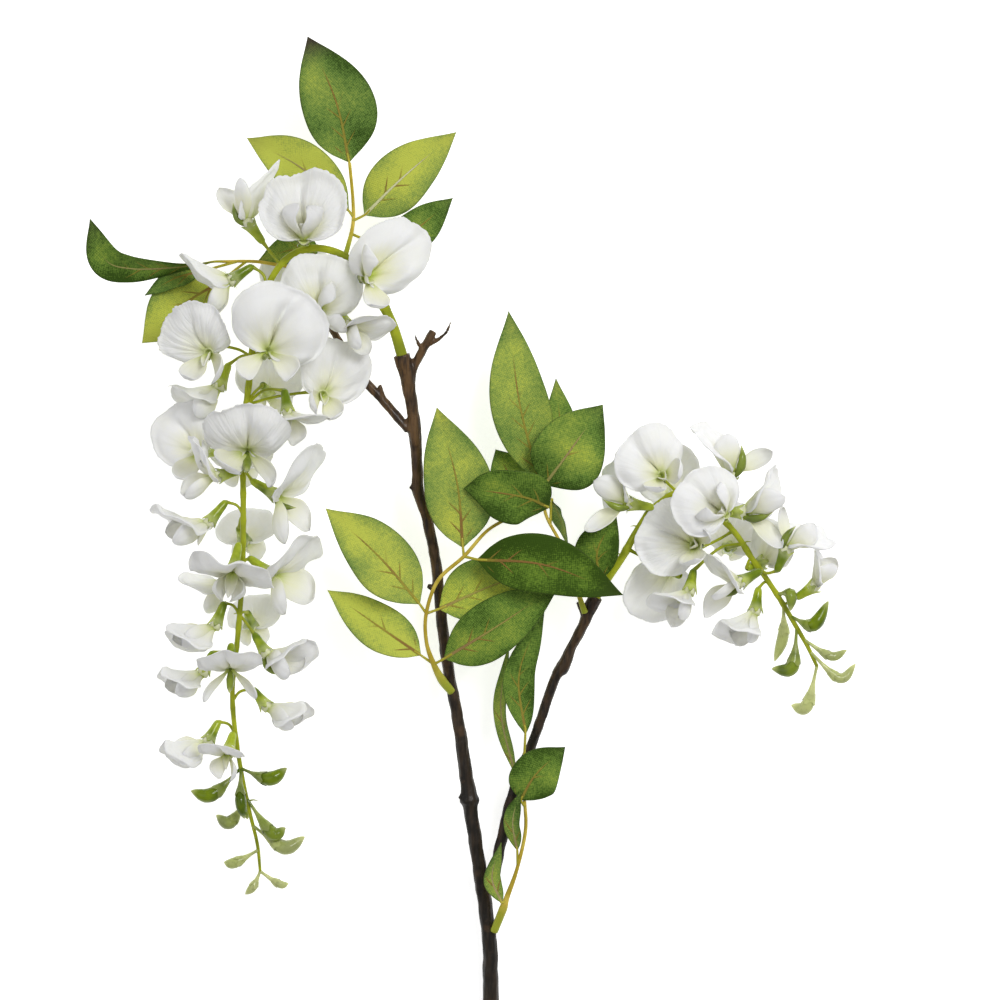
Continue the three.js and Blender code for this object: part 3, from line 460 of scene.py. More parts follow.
class Finish:
    """A material whose surface is worked out by nodes."""

    def __init__(self, name, **constants):
        self.material = bpy.data.materials.new(name)
        self.material.use_nodes = True
        self.tree = self.material.node_tree
        self.tree.nodes.clear()
        self.shader = self.tree.nodes.new("ShaderNodeBsdfPrincipled")
        output = self.tree.nodes.new("ShaderNodeOutputMaterial")
        self.tree.links.new(self.shader.outputs[0], output.inputs["Surface"])
        self.surface(**constants)

    def feed(self, socket, value):
        if isinstance(value, Socket):
            self.tree.links.new(value.output, socket)
        elif socket.type == "RGBA":
            socket.default_value = (*value, 1)
        else:
            socket.default_value = value

    def node(self, kind, settings, *values, **named):
        """Adds a node: its settings first, then its sockets in order, then its sockets by name."""
        made = self.tree.nodes.new(kind)
        for key, value in settings.items():
            if key == "stops":
                ramp = made.color_ramp.elements
                while len(ramp) < len(value):
                    ramp.new(0.5)
                for stop, (place, colour) in zip(ramp, value):
                    stop.position, stop.color = place, (*colour, 1)
            else:
                setattr(made, key, value)
        shown = [socket for socket in made.inputs if socket.enabled]
        for socket, value in zip(shown, values):
            self.feed(socket, value)
        for key, value in named.items():
            self.feed(made.inputs[key.replace("_", " ")], value)
        return Socket(self, [output for output in made.outputs if output.enabled][0])

    def value(self, name):
        """A value that the form carries at each point."""
        return self.node("ShaderNodeAttribute", {"attribute_name": name}).out("Fac")

    def place(self):
        return self.node("ShaderNodeTexCoord", {}).out("Object")

    def point(self, x, y, z):
        return self.node("ShaderNodeCombineXYZ", {}, x, y, z)

    def stretch(self, vector, x, y, z):
        return self.node("ShaderNodeVectorMath", {"operation": "MULTIPLY"}, vector, (x, y, z))

    def cloud(self, vector, scale, detail=2.0, roughness=0.5):
        return self.node(
            "ShaderNodeTexNoise", {}, Vector=vector, Scale=scale, Detail=detail, Roughness=roughness
        )

    def blend(self, share, colour, other):
        return self.node("ShaderNodeMix", {"data_type": "RGBA"}, share, colour, other)

    def relief(self, height, depth, strength, below=None):
        """A bump of that depth in millimetres, over another one if given."""
        named = {} if below is None else {"Normal": below}
        return self.node(
            "ShaderNodeBump", {}, Height=height, Distance=depth * MM, Strength=strength, **named
        )

    def surface(self, **values):
        """Feeds the shader's sockets by name, and gives the material."""
        for key, value in values.items():
            self.feed(self.shader.inputs[key.replace("_", " ")], value)
        return self.material


WHITE = (0.815, 0.815, 0.81)
SHADED_WHITE = (0.74, 0.74, 0.735)
WARM_WHITE = (0.81, 0.81, 0.72)
FIBRE_GREY = (0.70, 0.70, 0.69)
CREAM = (0.78, 0.78, 0.48)
THROAT_GREEN = (0.46, 0.57, 0.05)


def petal_finish():
    """Pressed white fabric, cream towards the throat and crinkled where its form says so."""
    f = Finish(
        "white_pressed_petal_fabric", IOR=1.4, Specular_IOR_Level=0.3, Subsurface_Weight=0.24,
        Subsurface_Radius=(1.0, 0.95, 0.75), Subsurface_Scale=1.5 * MM,
    )
    out = f.value("from_throat")
    turn = f.value("round_throat")
    warmth = f.value("warmth")
    place = f.place()
    soft = f.cloud(place, scale=80)
    streaks = f.cloud(f.point(turn * 12, out * 1.5, soft * 1.2), scale=1.7, detail=3)
    fibre = f.cloud(place, scale=900, detail=3, roughness=0.6)
    cream = (1 - (out + (streaks - 0.5) * 0.25 + (soft - 0.5) * 0.3).rise(0.04, 0.66)) * warmth
    green = (1 - (out + (streaks - 0.5) * 0.08).rise(0.03, 0.27)) * warmth
    # Painted shade: the white turns greyer along the pleat streaks, where the hollows of the pleats lie.
    colour = f.blend(streaks.rise(0.5, 0.8) * 0.25, WHITE, SHADED_WHITE)
    colour = f.blend(soft.rise(0.5, 0.7) * warmth * 0.3, colour, WARM_WHITE)
    colour = f.blend(cream * 0.95, colour, CREAM)
    colour = f.blend(green * 0.9, colour, THROAT_GREEN)
    colour = f.blend(fibre.rise(0.45, 0.75) * 0.10, colour, FIBRE_GREY)
    crinkles = f.relief(streaks * f.value("crinkle"), depth=0.75, strength=0.8)
    weave = f.cloud(place, scale=2600)
    normal = f.relief(weave * 0.6 + fibre, depth=0.07, strength=0.7, below=crinkles)
    return f.surface(Base_Color=colour, Roughness=0.62 + weave * 0.15, Normal=normal)


# The places on a ramp from dark green to yellow, and the colours there.
LEAF_TONES = [
    (0.0, (0.035, 0.075, 0.010)), (0.3, (0.115, 0.205, 0.045)), (0.6, (0.25, 0.335, 0.070)),
    (1.0, (0.50, 0.55, 0.085)),
]
VEIN_OCHRE = (0.30, 0.235, 0.035)
VEIN_RUST = (0.23, 0.10, 0.04)
PALE_RIB = (0.66, 0.68, 0.40)
TIP_BROWN = (0.05, 0.022, 0.03)
LEAF_RIM = (0.06, 0.09, 0.02)


def leaf_finish():
    """Printed leaf fabric: green to yellow in patches, darker for a dark print and with painted shade on
    shaded leaves, ochre and pale veins and a coarse weave.
    """
    f = Finish("leaf_fabric_print_and_painted_shade", IOR=1.4, Specular_IOR_Level=0.15)
    along = f.value("along")
    side = f.value("side_mm")
    down = f.value("along_mm")
    edge = f.value("to_edge")
    yellowness = f.value("yellowness")
    darkness = f.value("darkness")
    place = f.place()
    patches = f.cloud(place, scale=46, detail=1.5)
    mottle = f.cloud(place, scale=420, detail=3, roughness=0.65)
    grain = f.cloud(place, scale=1150, roughness=0.6)
    warp = (down * 5.2 + side * 2.4 + mottle * 4).sine()
    weft = (side * 5.2 - down * 2.4 + mottle * 4).sine()
    weave = warp * weft
    # Painted shade as well as print: the darkness value darkens the leaves that lie in the shade of others.
    level = 0.43 + yellowness * 0.8 - darkness * 0.50
    level = level + (patches - 0.5) * 1.45 - edge * edge * 0.1 - abs(along - 0.45) * 0.15
    level = level + yellowness * (0.16 - edge * edge * 0.4)
    level = level + (mottle - 0.5) * 0.4 + (weave * 0.16 + grain - 0.5) * 0.75
    colour = f.node("ShaderNodeValToRGB", {"stops": LEAF_TONES}, level)
    # Painted shade: the darkness value also takes blue out of the green, as the shade of other leaves does.
    colour = f.blend(darkness * 0.8, colour, f.stretch(colour, 1.0, 1.0, 0.35))
    rib_half = 0.95 - along * 0.95
    rib = (1 - (abs(side) / rib_half).rise(0.45, 1.0)) * (1 - along.rise(0.6, 0.8))
    slant = (down - abs(side) * 1.25) / 8.5 + f.value("seed") * 9 + side.rise(-0.01, 0.01) * 0.41
    chance = f.node("ShaderNodeTexWhiteNoise", {"noise_dimensions": "1D"}, W=slant.whole())
    twig = 1 - (abs(slant.rest() - 0.5) / (0.105 - abs(side) * 0.014)).rise(0.4, 1.0)
    twig = twig * (1 - abs(side).rise(3.2, 5.6)) * chance.out("Value").rise(0.36, 0.40)
    twig = twig * (1 - along.rise(0.42, 0.6)) * along.rise(0.06, 0.12)
    veins = rib.largest(twig * 0.85)
    colour = f.blend(veins * 0.8, colour, VEIN_OCHRE)
    colour = f.blend(veins * patches.rise(0.42, 0.6) * 0.7, colour, VEIN_RUST)
    colour = f.blend(rib * f.value("pale_rib") * 0.9, colour, PALE_RIB)
    colour = f.blend(f.value("brown_tip") * along.rise(0.76, 1.0) * 0.85, colour, TIP_BROWN)
    colour = f.blend(edge.rise(0.94, 1.0) * 0.5, colour, LEAF_RIM)
    raised = f.relief(veins, depth=0.35, strength=0.8)
    normal = f.relief(weave * 0.5 + grain, depth=0.12, strength=0.9, below=raised)
    return f.surface(Base_Color=colour, Roughness=0.62 + mottle * 0.15, Normal=normal)


def plastic_finish(name, dark, bright, pale, gloss):
    """Moulded plastic or thread, darker in patches and pale where its form says so."""
    f = Finish(name, IOR=1.46, Specular_IOR_Level=0.05, Coat_Weight=gloss, Coat_Roughness=0.07)
    place = f.place()
    patches = f.cloud(place, scale=110)
    fine = f.cloud(place, scale=700, detail=3)
    colour = f.blend(patches.rise(0.35, 0.65), dark, bright)
    colour = f.blend(f.value("paleness") * 0.9, colour, pale)
    colour = f.blend(fine.rise(0.5, 0.8) * 0.3, colour, dark)
    normal = f.relief(fine, depth=0.05, strength=0.4)
    return f.surface(Base_Color=colour, Roughness=0.3 + fine * 0.2, Normal=normal)


# Each pair is for the hollows of the bark and for its ridges.
LOWER_BARK = [(0.006, 0.004, 0.002), (0.026, 0.016, 0.008)]
UPPER_BARK = [(0.022, 0.011, 0.004), (0.115, 0.060, 0.020)]
BARK_PATCH = (0.12, 0.065, 0.03)
BARK_SPECK = (0.012, 0.007, 0.004)
CUT_WOOD = (0.25, 0.16, 0.10)


def bark_finish():
    """Dark brown moulded bark, lighter on its ridges and up the branch, with a slight gloss."""
    f = Finish(
        "moulded_brown_bark", IOR=1.46, Specular_IOR_Level=0.25, Coat_Weight=0.2, Coat_Roughness=0.13
    )
    place = f.place()
    grain = f.cloud(f.stretch(place, 1.0, 0.12, 1.0), scale=430, detail=3, roughness=0.6)
    patches = f.cloud(place, scale=130, detail=3)
    specks = f.cloud(place, scale=1100, detail=3, roughness=0.6)
    low = f.blend(grain.rise(0.38, 0.66), *LOWER_BARK)
    high = f.blend(grain.rise(0.36, 0.66), *UPPER_BARK)
    colour = f.blend(f.value("up_the_branch"), low, high)
    colour = f.blend(patches.rise(0.5, 0.72) * 0.4, colour, BARK_PATCH)
    colour = f.blend(specks.rise(0.55, 0.75) * 0.35, colour, BARK_SPECK)
    colour = f.blend(f.value("cut_wood") * 0.8, colour, CUT_WOOD)
    ridges = f.relief(grain, depth=0.45, strength=0.9)
    normal = f.relief(specks, depth=0.2, strength=0.7, below=ridges)
    return f.surface(Base_Color=colour, Roughness=0.45 + specks * 0.25, Normal=normal)


PETAL_FABRIC = petal_finish()
LEAF_FABRIC = leaf_finish()
STEM_PLASTIC = plastic_finish(
    "green_stem_plastic", dark=(0.19, 0.23, 0.003), bright=(0.34, 0.38, 0.008),
    pale=(0.58, 0.60, 0.15), gloss=0.25,
)
CALYX_PLASTIC = plastic_finish(
    "glossy_calyx_plastic", dark=(0.12, 0.185, 0.003), bright=(0.38, 0.46, 0.03),
    pale=(0.76, 0.78, 0.45), gloss=0.65,
)
BUD_PLASTIC = plastic_finish(
    "glossy_bud_plastic", dark=(0.065, 0.11, 0.001), bright=(0.17, 0.24, 0.003),
    pale=(0.76, 0.78, 0.36), gloss=0.5,
)
LEAF_STALK_PLASTIC = plastic_finish(
    "ochre_leaf_stalk_plastic", dark=(0.42, 0.31, 0.03), bright=(0.62, 0.48, 0.08),
    pale=(0.30, 0.36, 0.03), gloss=0.15,
)
THREADS = plastic_finish(
    "frayed_thread", dark=(0.5, 0.55, 0.3), bright=(0.8, 0.8, 0.68), pale=(0.86, 0.87, 0.85), gloss=0.0
)
BARK = bark_finish()


# ---------------------------------------------------------------- florets
# The thickness of the petals' fabric.
PETAL_CLOTH = 0.28
# How far ahead a wing reaches for each unit that it runs along.
WING_AHEAD = 0.84
# The florets whose keel is moulded in green plastic.
GREEN_KEELS = {"long": "ahmnsu", "short": "aefgj"}


def floret_axes(row):
    """The way that a floret faces, and a function that places points x across it, y towards its
    standard and z ahead."""
    mouth, face, up = np.array(row[:3], float)
    forward = unit(face)
    upward = unit(up - (up @ forward) * forward)
    side = np.cross(upward, forward)

    def place(x, y, z):
        x, y, z = np.broadcast_arrays(x, y, z)
        return mouth + x[..., None] * side + y[..., None] * upward + z[..., None] * forward

    return forward, place


def standard_profile(shares, opening):
    """How far out and ahead of the throat a standard of reach 1 lies at shares of that reach."""
    steps = 96
    s = (np.arange(steps) + 0.5) / steps
    lean = lerp(1.15, lerp(0.95, 1.62, opening), smoothstep(s, 0, 0.35)) - 0.35 * s * s
    ends = np.append(0, (np.arange(steps) + 1) / steps)
    out = np.append(0, np.cumsum(np.sin(lean)) / steps)
    ahead = np.append(0, np.cumsum(np.cos(lean)) / steps)
    return np.interp(shares, ends, out), np.interp(shares, ends, ahead)


# How a floret's petals are bent, in shares of the width of its standard: dome (the middle stands
# forward), lobes (each half is puffed), lip (a hollow inside a raised rim), roll (the rim turns
# back), crease along the middle, pleats, ruffle and fray of the rim, skew (one half forward), cup
# (the lower sides forward), fold (both halves forward like a boat), how narrow or tall it is, and
# a corner that it runs out to on one side.
# Then how crinkled and how creamy the fabric is, and how the wings are: length, width, raise
# towards the standard, spread apart, turn about the way that the floret faces and roll, both in
# radians. Claw is the length of a green keel. A pair of values is for the left wing and the right.
USUAL_BEND = dict(
    dome=0.05, lobes=0.045, lip=0.012, roll=0.05, crease=0.055, pleats=0.002, ruffle=0.02, fray=0.004,
    skew=0.0, cup=0.03, fold=0.0, narrow=1.0, tall=1.0, corner=0.0, crinkle=0.35, cream=0.8,
    wing_length=1.12, wing_width=1.0, wing_raise=0.0, wing_spread=0.3, wing_turn=0.0, wing_roll=0.3,
    claw=1.0,
)
BENDS = {
    "long_a": dict(
        narrow=0.6, tall=1.6, roll=0.02, wing_length=1.5, wing_width=(1.35, 0.9), wing_raise=(-0.05, 0.5),
    ),
    "long_b": dict(
        pleats=0.004, ruffle=0.03, crease=0.085, roll=-0.02, cup=0.11, fray=0.01, crinkle=1.0, cream=1.1,
        wing_length=1.25, wing_width=0.95, wing_roll=0.3, wing_raise=0.35, wing_spread=0.27,
    ),
    "long_c": dict(
        dome=0.09, lobes=0.07, roll=0.08, pleats=0.001, narrow=0.78, tall=1.14, skew=0.05, crinkle=0.15,
        cream=1.15, wing_width=0.85, wing_roll=0.8, wing_raise=(0.5, -0.2),
    ),
    "long_d": dict(
        dome=0.08, lobes=0.05, crinkle=0.6, cream=1.05, wing_width=1.05, wing_turn=-1.15, wing_roll=0.6,
        wing_spread=0.35, wing_raise=0.9, ruffle=0.03, corner=0.05,
    ),
    "long_e": dict(wing_raise=0.3, wing_length=1.2),
    "long_f": dict(narrow=0.8, tall=1.15, wing_raise=(-0.2, 0.0)),
    "long_g": dict(
        pleats=0.006, ruffle=0.05, crease=0.05, skew=-0.06, fray=0.01, corner=-0.14, crinkle=1.2,
        wing_roll=0.7, wing_raise=(0.0, -0.4), wing_width=(1.0, 0.85),
    ),
    "long_h": dict(
        dome=0.09, lobes=0.09, lip=0.03, roll=0.09, crease=0.13, pleats=0.001, ruffle=0.03, crinkle=0.15,
        tall=0.94, wing_length=0.85, wing_width=0.65, wing_turn=0.5, wing_roll=0.9, wing_spread=0.5,
        claw=0.5,
    ),
    "long_i": dict(fold=0.2, wing_raise=0.35, wing_length=1.3, wing_width=1.2),
    "long_k": dict(tall=1.1, roll=0.02, lobes=0.06, wing_length=1.25, wing_width=0.9),
    "long_l": dict(crinkle=0.15, dome=0.07, roll=0.02, wing_raise=-0.5, wing_length=1.3),
    "long_m": dict(
        pleats=0.004, roll=0.09, dome=0.08, crease=0.06, ruffle=0.04, fray=0.008, crinkle=1.1,
        wing_roll=0.6, wing_length=0.9, wing_width=(1.0, 0.6), wing_raise=(0.0, -0.5),
        wing_spread=(0.3, 0.6),
    ),
    "long_n": dict(roll=0.03, wing_width=0.85, claw=0.7, wing_raise=(-0.5, 0.3)),
    "long_o": dict(ruffle=0.04, wing_length=1.2, wing_raise=(1.0, 0.6)),
    "long_p": dict(ruffle=0.06, roll=0.06, cup=0.08, crinkle=0.7, wing_length=0.72, wing_width=0.8),
    "long_q": dict(
        roll=0.03, ruffle=0.04, wing_raise=(-0.15, 0.4), wing_width=(1.0, 1.45), wing_length=(1.12, 1.3),
    ),
    "long_r": dict(fold=0.3, wing_length=1.4, wing_width=1.2, wing_raise=(0.9, 0.5)),
    "long_s": dict(fold=0.2, wing_length=1.35, wing_width=1.25, wing_raise=(0.4, 0.8)),
    "long_t": dict(fold=0.25, wing_length=1.45, wing_width=1.25, wing_raise=(0.8, 0.4)),
    "long_u": dict(ruffle=0.03, wing_width=0.65, wing_spread=0.8, wing_length=1.0, claw=1.15),
    "long_v": dict(fold=0.3, wing_length=1.4, wing_width=1.3, wing_raise=(0.2, 0.5)),
    "long_w": dict(fold=0.35, wing_length=1.4, wing_width=1.3, wing_raise=(0.8, 0.4)),
    "long_y": dict(narrow=0.8, corner=0.12, wing_length=1.25),
    "short_a": dict(wing_length=1.4, wing_raise=(-0.45, 0.45)),
    "short_b": dict(
        dome=0.08, lobes=0.08, crinkle=0.4, ruffle=0.03, crease=0.09, wing_roll=0.6, wing_width=0.9,
    ),
    "short_c": dict(
        dome=0.07, cup=0.08, crinkle=0.4, crease=0.08, wing_roll=0.42, wing_length=1.2, wing_raise=0.3,
        wing_spread=0.34,
    ),
    "short_d": dict(
        pleats=0.007, ruffle=0.04, crease=0.08, crinkle=1.2, cream=0.95, corner=-0.06, wing_length=1.3,
    ),
    "short_e": dict(narrow=0.85, tall=1.1, wing_raise=(0.55, -0.45)),
    "short_f": dict(wing_length=1.35, wing_raise=(0.5, -0.45)),
    "short_g": dict(wing_length=1.3, wing_raise=(-0.4, 0.4)),
    "short_h": dict(wing_length=1.25, wing_width=1.2, wing_raise=0.3),
    "short_i": dict(tall=1.15, wing_length=1.3),
    "short_j": dict(wing_length=1.4, wing_raise=(-0.4, 0.4)),
    "short_k": dict(fold=0.25, wing_length=1.3, wing_width=1.25, wing_raise=0.2),
    "short_l": dict(fold=0.15, wing_length=1.3, wing_width=1.2, wing_raise=0.2),
}


def standard(form, place, span, opening, bend, draw):
    """The large round petal: two puffed halves either side of a crease, and an uneven rim."""
    share, turn = sheet(23, 113, first=0.04, half=STANDARD_FAN)
    rim_phase, fold_phase, curl_phase = draw.uniform(0, 2 * math.pi, 3)
    rim_waves = draw.integers(3, 6)
    near_rim = smoothstep(share, 0.6, 1)
    at_rim = smoothstep(share, 0.87, 1)
    # How far the petal reaches at each turn round the throat: uneven, with three small dents.
    notch = NOTCH_DEPTH * hump(turn, 0, NOTCH_HALF_ANGLE)
    reach = span * (STANDARD_REACH * np.cos(STANDARD_TAPER * turn) - notch)
    corner = abs(bend["corner"]) * hump(turn, math.copysign(1, bend["corner"]), 0.3)
    reach = reach * (
        1 + 0.025 * np.sin(2 * turn + curl_phase) + 0.018 * np.sin(rim_waves * turn + rim_phase)
        + 0.006 * np.sin(11 * turn) + corner
    )
    for dent in draw.uniform(-1.7, 1.7, 3):
        reach = reach * (1 - 0.035 * hump(turn, dent, 0.1))
    frayed = bend["fray"] * draw.normal(size=turn.shape) * smoothstep(share, 0.93, 1)
    out, ahead = standard_profile(share[:, 0], opening)
    out = out[:, None] * reach * (1 - 0.5 * max(bend["roll"], 0) * at_rim + frayed)
    ahead = 0.6 + ahead[:, None] * reach
    # How high it stands there, as a share of its width.
    from_crease = turn + 0.10 * np.sin(4 * share + rim_phase)
    crease = hump(from_crease, 0, lerp(0.09, 0.18, share**2)) * smoothstep(share, 0.02, 0.2)
    rolled = smoothstep(share, 0.74, 1) ** 1.5 * (1 + 0.5 * np.sin(2 * turn + curl_phase))
    wrinkles = np.sin(21 * turn + 2.5 * np.sin(3 * turn + curl_phase))
    wrinkles += 0.6 * np.sin(34 * turn + fold_phase)
    height = 0.6 * PLEAT_HEIGHT * share * np.cos(5 * turn)
    height += 0.02 * share**1.5 * np.sin(2 * turn + fold_phase)
    height += bend["dome"] * hump(share, 0.52, 0.3)
    height += bend["lobes"] * hump(np.abs(from_crease), 0.62, 0.42) * hump(share, 0.60, 0.3)
    height -= bend["crease"] * crease * (1 - 0.4 * near_rim)
    height += bend["lip"] * (at_rim - 1.4 * hump(share, 0.85, 0.08))
    height -= bend["roll"] * rolled
    height += bend["ruffle"] * near_rim * np.sin((rim_waves + 3) * turn + rim_phase)
    height += 0.3 * bend["ruffle"] * near_rim * np.sin(13 * turn + curl_phase)
    height += bend["pleats"] * smoothstep(share, 0.1, 0.5) * (1 - 0.5 * near_rim) * wrinkles
    height += 0.035 * hump(np.abs(turn), 0.42, 0.24) * hump(share, 0.24, 0.14)
    height += bend["cup"] * smoothstep(np.abs(turn), 0.9, 1.9) * share
    height += bend["fold"] * np.abs(np.sin(turn)) * share
    height += bend["skew"] * np.sin(turn) * share
    # Seven soft dents and lumps: where round the throat, how far out and how deep.
    lowest, highest = (-1.6, 0.35, -0.045), (1.6, 0.95, 0.045)
    for place_round, place_out, depth in draw.uniform(lowest, highest, (7, 3)):
        height += depth * hump(turn, place_round, 0.26) * hump(share, place_out, 0.15)
    x = out * np.sin(turn) * bend["narrow"]
    y = out * np.cos(turn) * bend["tall"]
    form.grid(
        place(x, y, ahead + span * height),
        from_throat=share, round_throat=turn, warmth=bend["cream"], crinkle=bend["crinkle"],
    )


def wing(form, place, span, lift, side, bend, draw):
    """A hollow petal on one side of the throat: a narrow claw, a broad middle and a blunt point."""
    bend = dict(bend)
    for key, value in bend.items():
        if isinstance(value, tuple):
            bend[key] = value[side > 0]
    share, edge = sheet(21, 13)
    ripple = draw.uniform(0, 2 * math.pi)
    length = WING_LENGTH * bend["wing_length"] * draw.uniform(0.9, 1.02) * span
    lift = lift + bend["wing_raise"] + draw.uniform(-0.08, 0.08)
    along = share * length / math.hypot(WING_AHEAD, lift) * 0.87
    # Half its width at each share of its length, then where each point lies across it, and how
    # hollow it is and how it flutters there.
    past_middle = np.maximum(share - 0.55, 0) / 0.45
    tip_shape = np.maximum(1 - past_middle**2, 0) ** draw.uniform(0.6, 0.8)
    half = 0.17 * span * bend["wing_width"] * lerp(0.22, 1, smoothstep(share, 0.02, 0.5)) * tip_shape
    bulge = 0.12 * half * np.sin(math.pi * share) * draw.uniform(-1, 1)
    width = (half + 0.1) * edge * (1 + 0.06 * np.sin(5 * share + ripple)) + bulge
    hollow = 0.55 * half * (1 - edge * edge) - 0.12 * half * hump(edge, 0, 0.2) * share
    flutter = 0.022 * span * np.sin(7 * share + 3 * edge + ripple) * edge**2 * share
    # The wing rolls about its length, and its width stands about square to the way that it runs.
    roll = bend["wing_roll"] + draw.uniform(-0.15, 0.15)
    c, s = math.cos(roll), math.sin(roll)
    x = 0.5 + bend["wing_spread"] * along + 0.8 * s * half
    x = x + (0.25 * c + s) * width + (c - 0.25 * s) * (hollow + flutter)
    tilt = 0.16 + math.atan2(lift, WING_AHEAD) * 0.85
    upright = 0.92 * (c * width - s * hollow)
    y = -0.3 + lift * along - 0.006 * along * along + upright * math.cos(tilt)
    z = 1.9 + WING_AHEAD * along - upright * math.sin(tilt)
    curl = smoothstep(share, 0.6, 1) ** 2
    x = side * (x - 0.08 * span * curl * draw.uniform(0.2, 1.2))
    turn = bend["wing_turn"]
    form.grid(
        place(x * math.cos(turn) - y * math.sin(turn), x * math.sin(turn) + y * math.cos(turn), z),
        from_throat=0.04 + 0.74 * share, round_throat=edge * 1.2 + 3, warmth=1.0,
        crinkle=0.15 + 0.4 * bend["crinkle"],
    )


def keel(form, place, span, lift):
    """The small boat-shaped white petal between the wings."""
    share, edge = sheet(13, 9)
    along = share * KEEL_LENGTH * 0.75 * span
    half = 0.08 * span * np.sin(math.pi * share**0.75) ** 0.75 + 0.12
    y = -0.9 + (lift - 0.2) * along + 0.012 * along * along
    z = 1.5 + 0.88 * along
    form.grid(
        place(edge * half * np.cos(0.6 * edge), y + np.abs(edge) ** 1.5 * half, z),
        from_throat=0.05 + 0.4 * share, round_throat=6.0, warmth=1.0, crinkle=0.0,
    )


def green_keel(form, place, length):
    """A glossy green keel like a claw, fat in the middle, that shows below the wings."""
    share = np.linspace(0, 1, 27)
    y = -1.0 - 0.16 * length * np.sin(math.pi * share**0.8) + 0.08 * length * share**2
    z = 0.2 + length * share
    widths = np.interp(share, [0, 0.12, 0.4, 0.7, 0.9, 1], [0.9, 1.4, 2.2, 1.7, 0.6, 0.06])
    pale = 0.1 + 0.5 * smoothstep(share, 0.75, 1)[:, None]
    form.rod(place(0, y, z), widths * length / 13, sides=14, flatness=0.8, paleness=pale)


def throat(form, place, span):
    """Where the claws of the petals meet: a shallow cup in front, and a tube into the calyx."""
    share = np.linspace(0, 1, 9)[:, None]
    angle = circle(16)[None, :]
    stations = [0, 0.2, 0.4, 0.5, 0.7, 1]
    radius = np.interp(share, stations, [0.2, 1.5, 2.3, 2.5, 2.4, 2.3])
    ahead = np.interp(share, stations, [0.7, 1.0, 2.2, 2.3, 0.4, -1.8])
    scale = lerp(np.clip(span / 34, 0.75, 1.1), 1, smoothstep(share, 0.4, 0.8))
    radius = scale * radius * (1 + 0.06 * np.sin(3 * angle) * share)
    form.grid(
        place(radius * np.cos(angle), radius * np.sin(angle), ahead), closed=True,
        from_throat=0.03 + 0.3 * share, round_throat=angle, warmth=1.0, crinkle=0.0,
    )


def floret(name, letter, row):
    """The petals of a floret, with a keel of fabric or one of green plastic."""
    node = f"{name}_floret_{letter}"
    draw = np.random.default_rng(sum(ord(c) * (k + 3) for k, c in enumerate(node)))
    span, opening, lift = row[3:6]
    _, place = floret_axes(row)
    form = Form()
    bend = {**USUAL_BEND, **BENDS.get(f"{name}_{letter}", {})}
    standard(form, place, span, opening, bend, draw)
    for side in (-1, 1):
        wing(form, place, span, lift, side, bend, draw)
    throat(form, place, span)
    if letter in GREEN_KEELS[name]:
        claw = Form()
        green_keel(claw, place, 0.42 * span * bend["claw"])
        claw.piece(f"{node}_keel", node, "green_stem", BUD_PLASTIC)
    else:
        keel(form, place, span, lift)
    form.piece(f"{node}_petals", node, "petal", PETAL_FABRIC, PETAL_CLOTH)


# ---------------------------------------------------------------- stems, calyxes and buds
CALYX_WALL = 0.3
CALYX_TEETH = 5
# A bud's thickness as a share of its width.
BUD_FLATNESS = 0.88
STRANDS_ON_A_STEM = 9


def distances(points, target):
    return np.linalg.norm(points - np.array(target), axis=1)


def nearest_point(points, target):
    return points[np.argmin(distances(points, target))]


def pedicel_and_calyx(stems, calyxes, row, knots, draw):
    """A floret's own thin stem, and the toothed cup that holds its petals."""
    span = row[3]
    forward, place = floret_axes(row)
    mouth = place(0, 0, -0.1)
    length = CALYX_LENGTH * lerp(0.7, 1, smoothstep(span, 18, 36)) * 1.12
    base = mouth - forward * length
    start = nearest_point(knots, base)
    bend = (start + base) / 2 - forward * 0.18 * np.linalg.norm(base - start)
    shares = np.linspace(0, 1, 15)
    line = smooth_points([start, bend, base], shares)
    thickness = np.interp(shares, [0, 0.12, 0.3, 0.8, 0.95, 1], [1.0, 0.72, 0.62, 0.64, 0.9, 0.95])
    down = shares[:, None]
    stems.rod(line, thickness, sides=9, paleness=0.25 * down)
    line = smooth_points([base - 0.4 * forward, lerp(base, mouth, 0.5), mouth], shares)
    angle = (circle(25) + draw.uniform(0, 6))[None, :]
    tooth = np.cos(CALYX_TEETH / 2 * angle) ** 2
    last = smoothstep(down, 0.82, 1)
    stations = [0, 0.06, 0.2, 0.45, 0.7, 0.9, 1]
    widths = np.interp(down, stations, [0.8, 1.3, 1.6, 1.8, 2.2, 2.55, 2.65])
    ribs = 1 + 0.04 * np.cos(CALYX_TEETH * angle) * down
    radius = (widths + last * (0.8 * tooth**1.5 + draw.uniform(-0.1, 0.1))) * ribs
    ahead = last * (tooth**1.5 * draw.uniform(1.4, 2.6) - 0.3)
    pale = 0.4 * smoothstep(down, 0.6, 1) * (1 - 0.6 * last * tooth)
    calyxes.grid(rings(line, radius, angle, 1.0, (ahead, forward)), closed=True, paleness=pale)


def threads(form, row, draw):
    """Frayed threads that stand out of a calyx mouth."""
    _, place = floret_axes(row)
    for _ in range(draw.integers(3, 7)):
        angle = draw.uniform(0, 2 * math.pi)
        reach, bend = draw.uniform(1.2, 3.4), draw.uniform(-1.5, 1.5)
        c, s = math.cos(angle), math.sin(angle)
        shares = np.linspace(0, 1, 6)
        radius = 2.4 + reach * 0.8 * shares
        x = c * radius + bend * shares**2 * s
        y = s * radius - bend * shares**2 * c
        z = 0.3 + reach * 0.5 * shares - 0.4 * reach * shares**2
        form.rod(place(x, y, z), 0.16 - 0.09 * shares, sides=5, paleness=1.0)


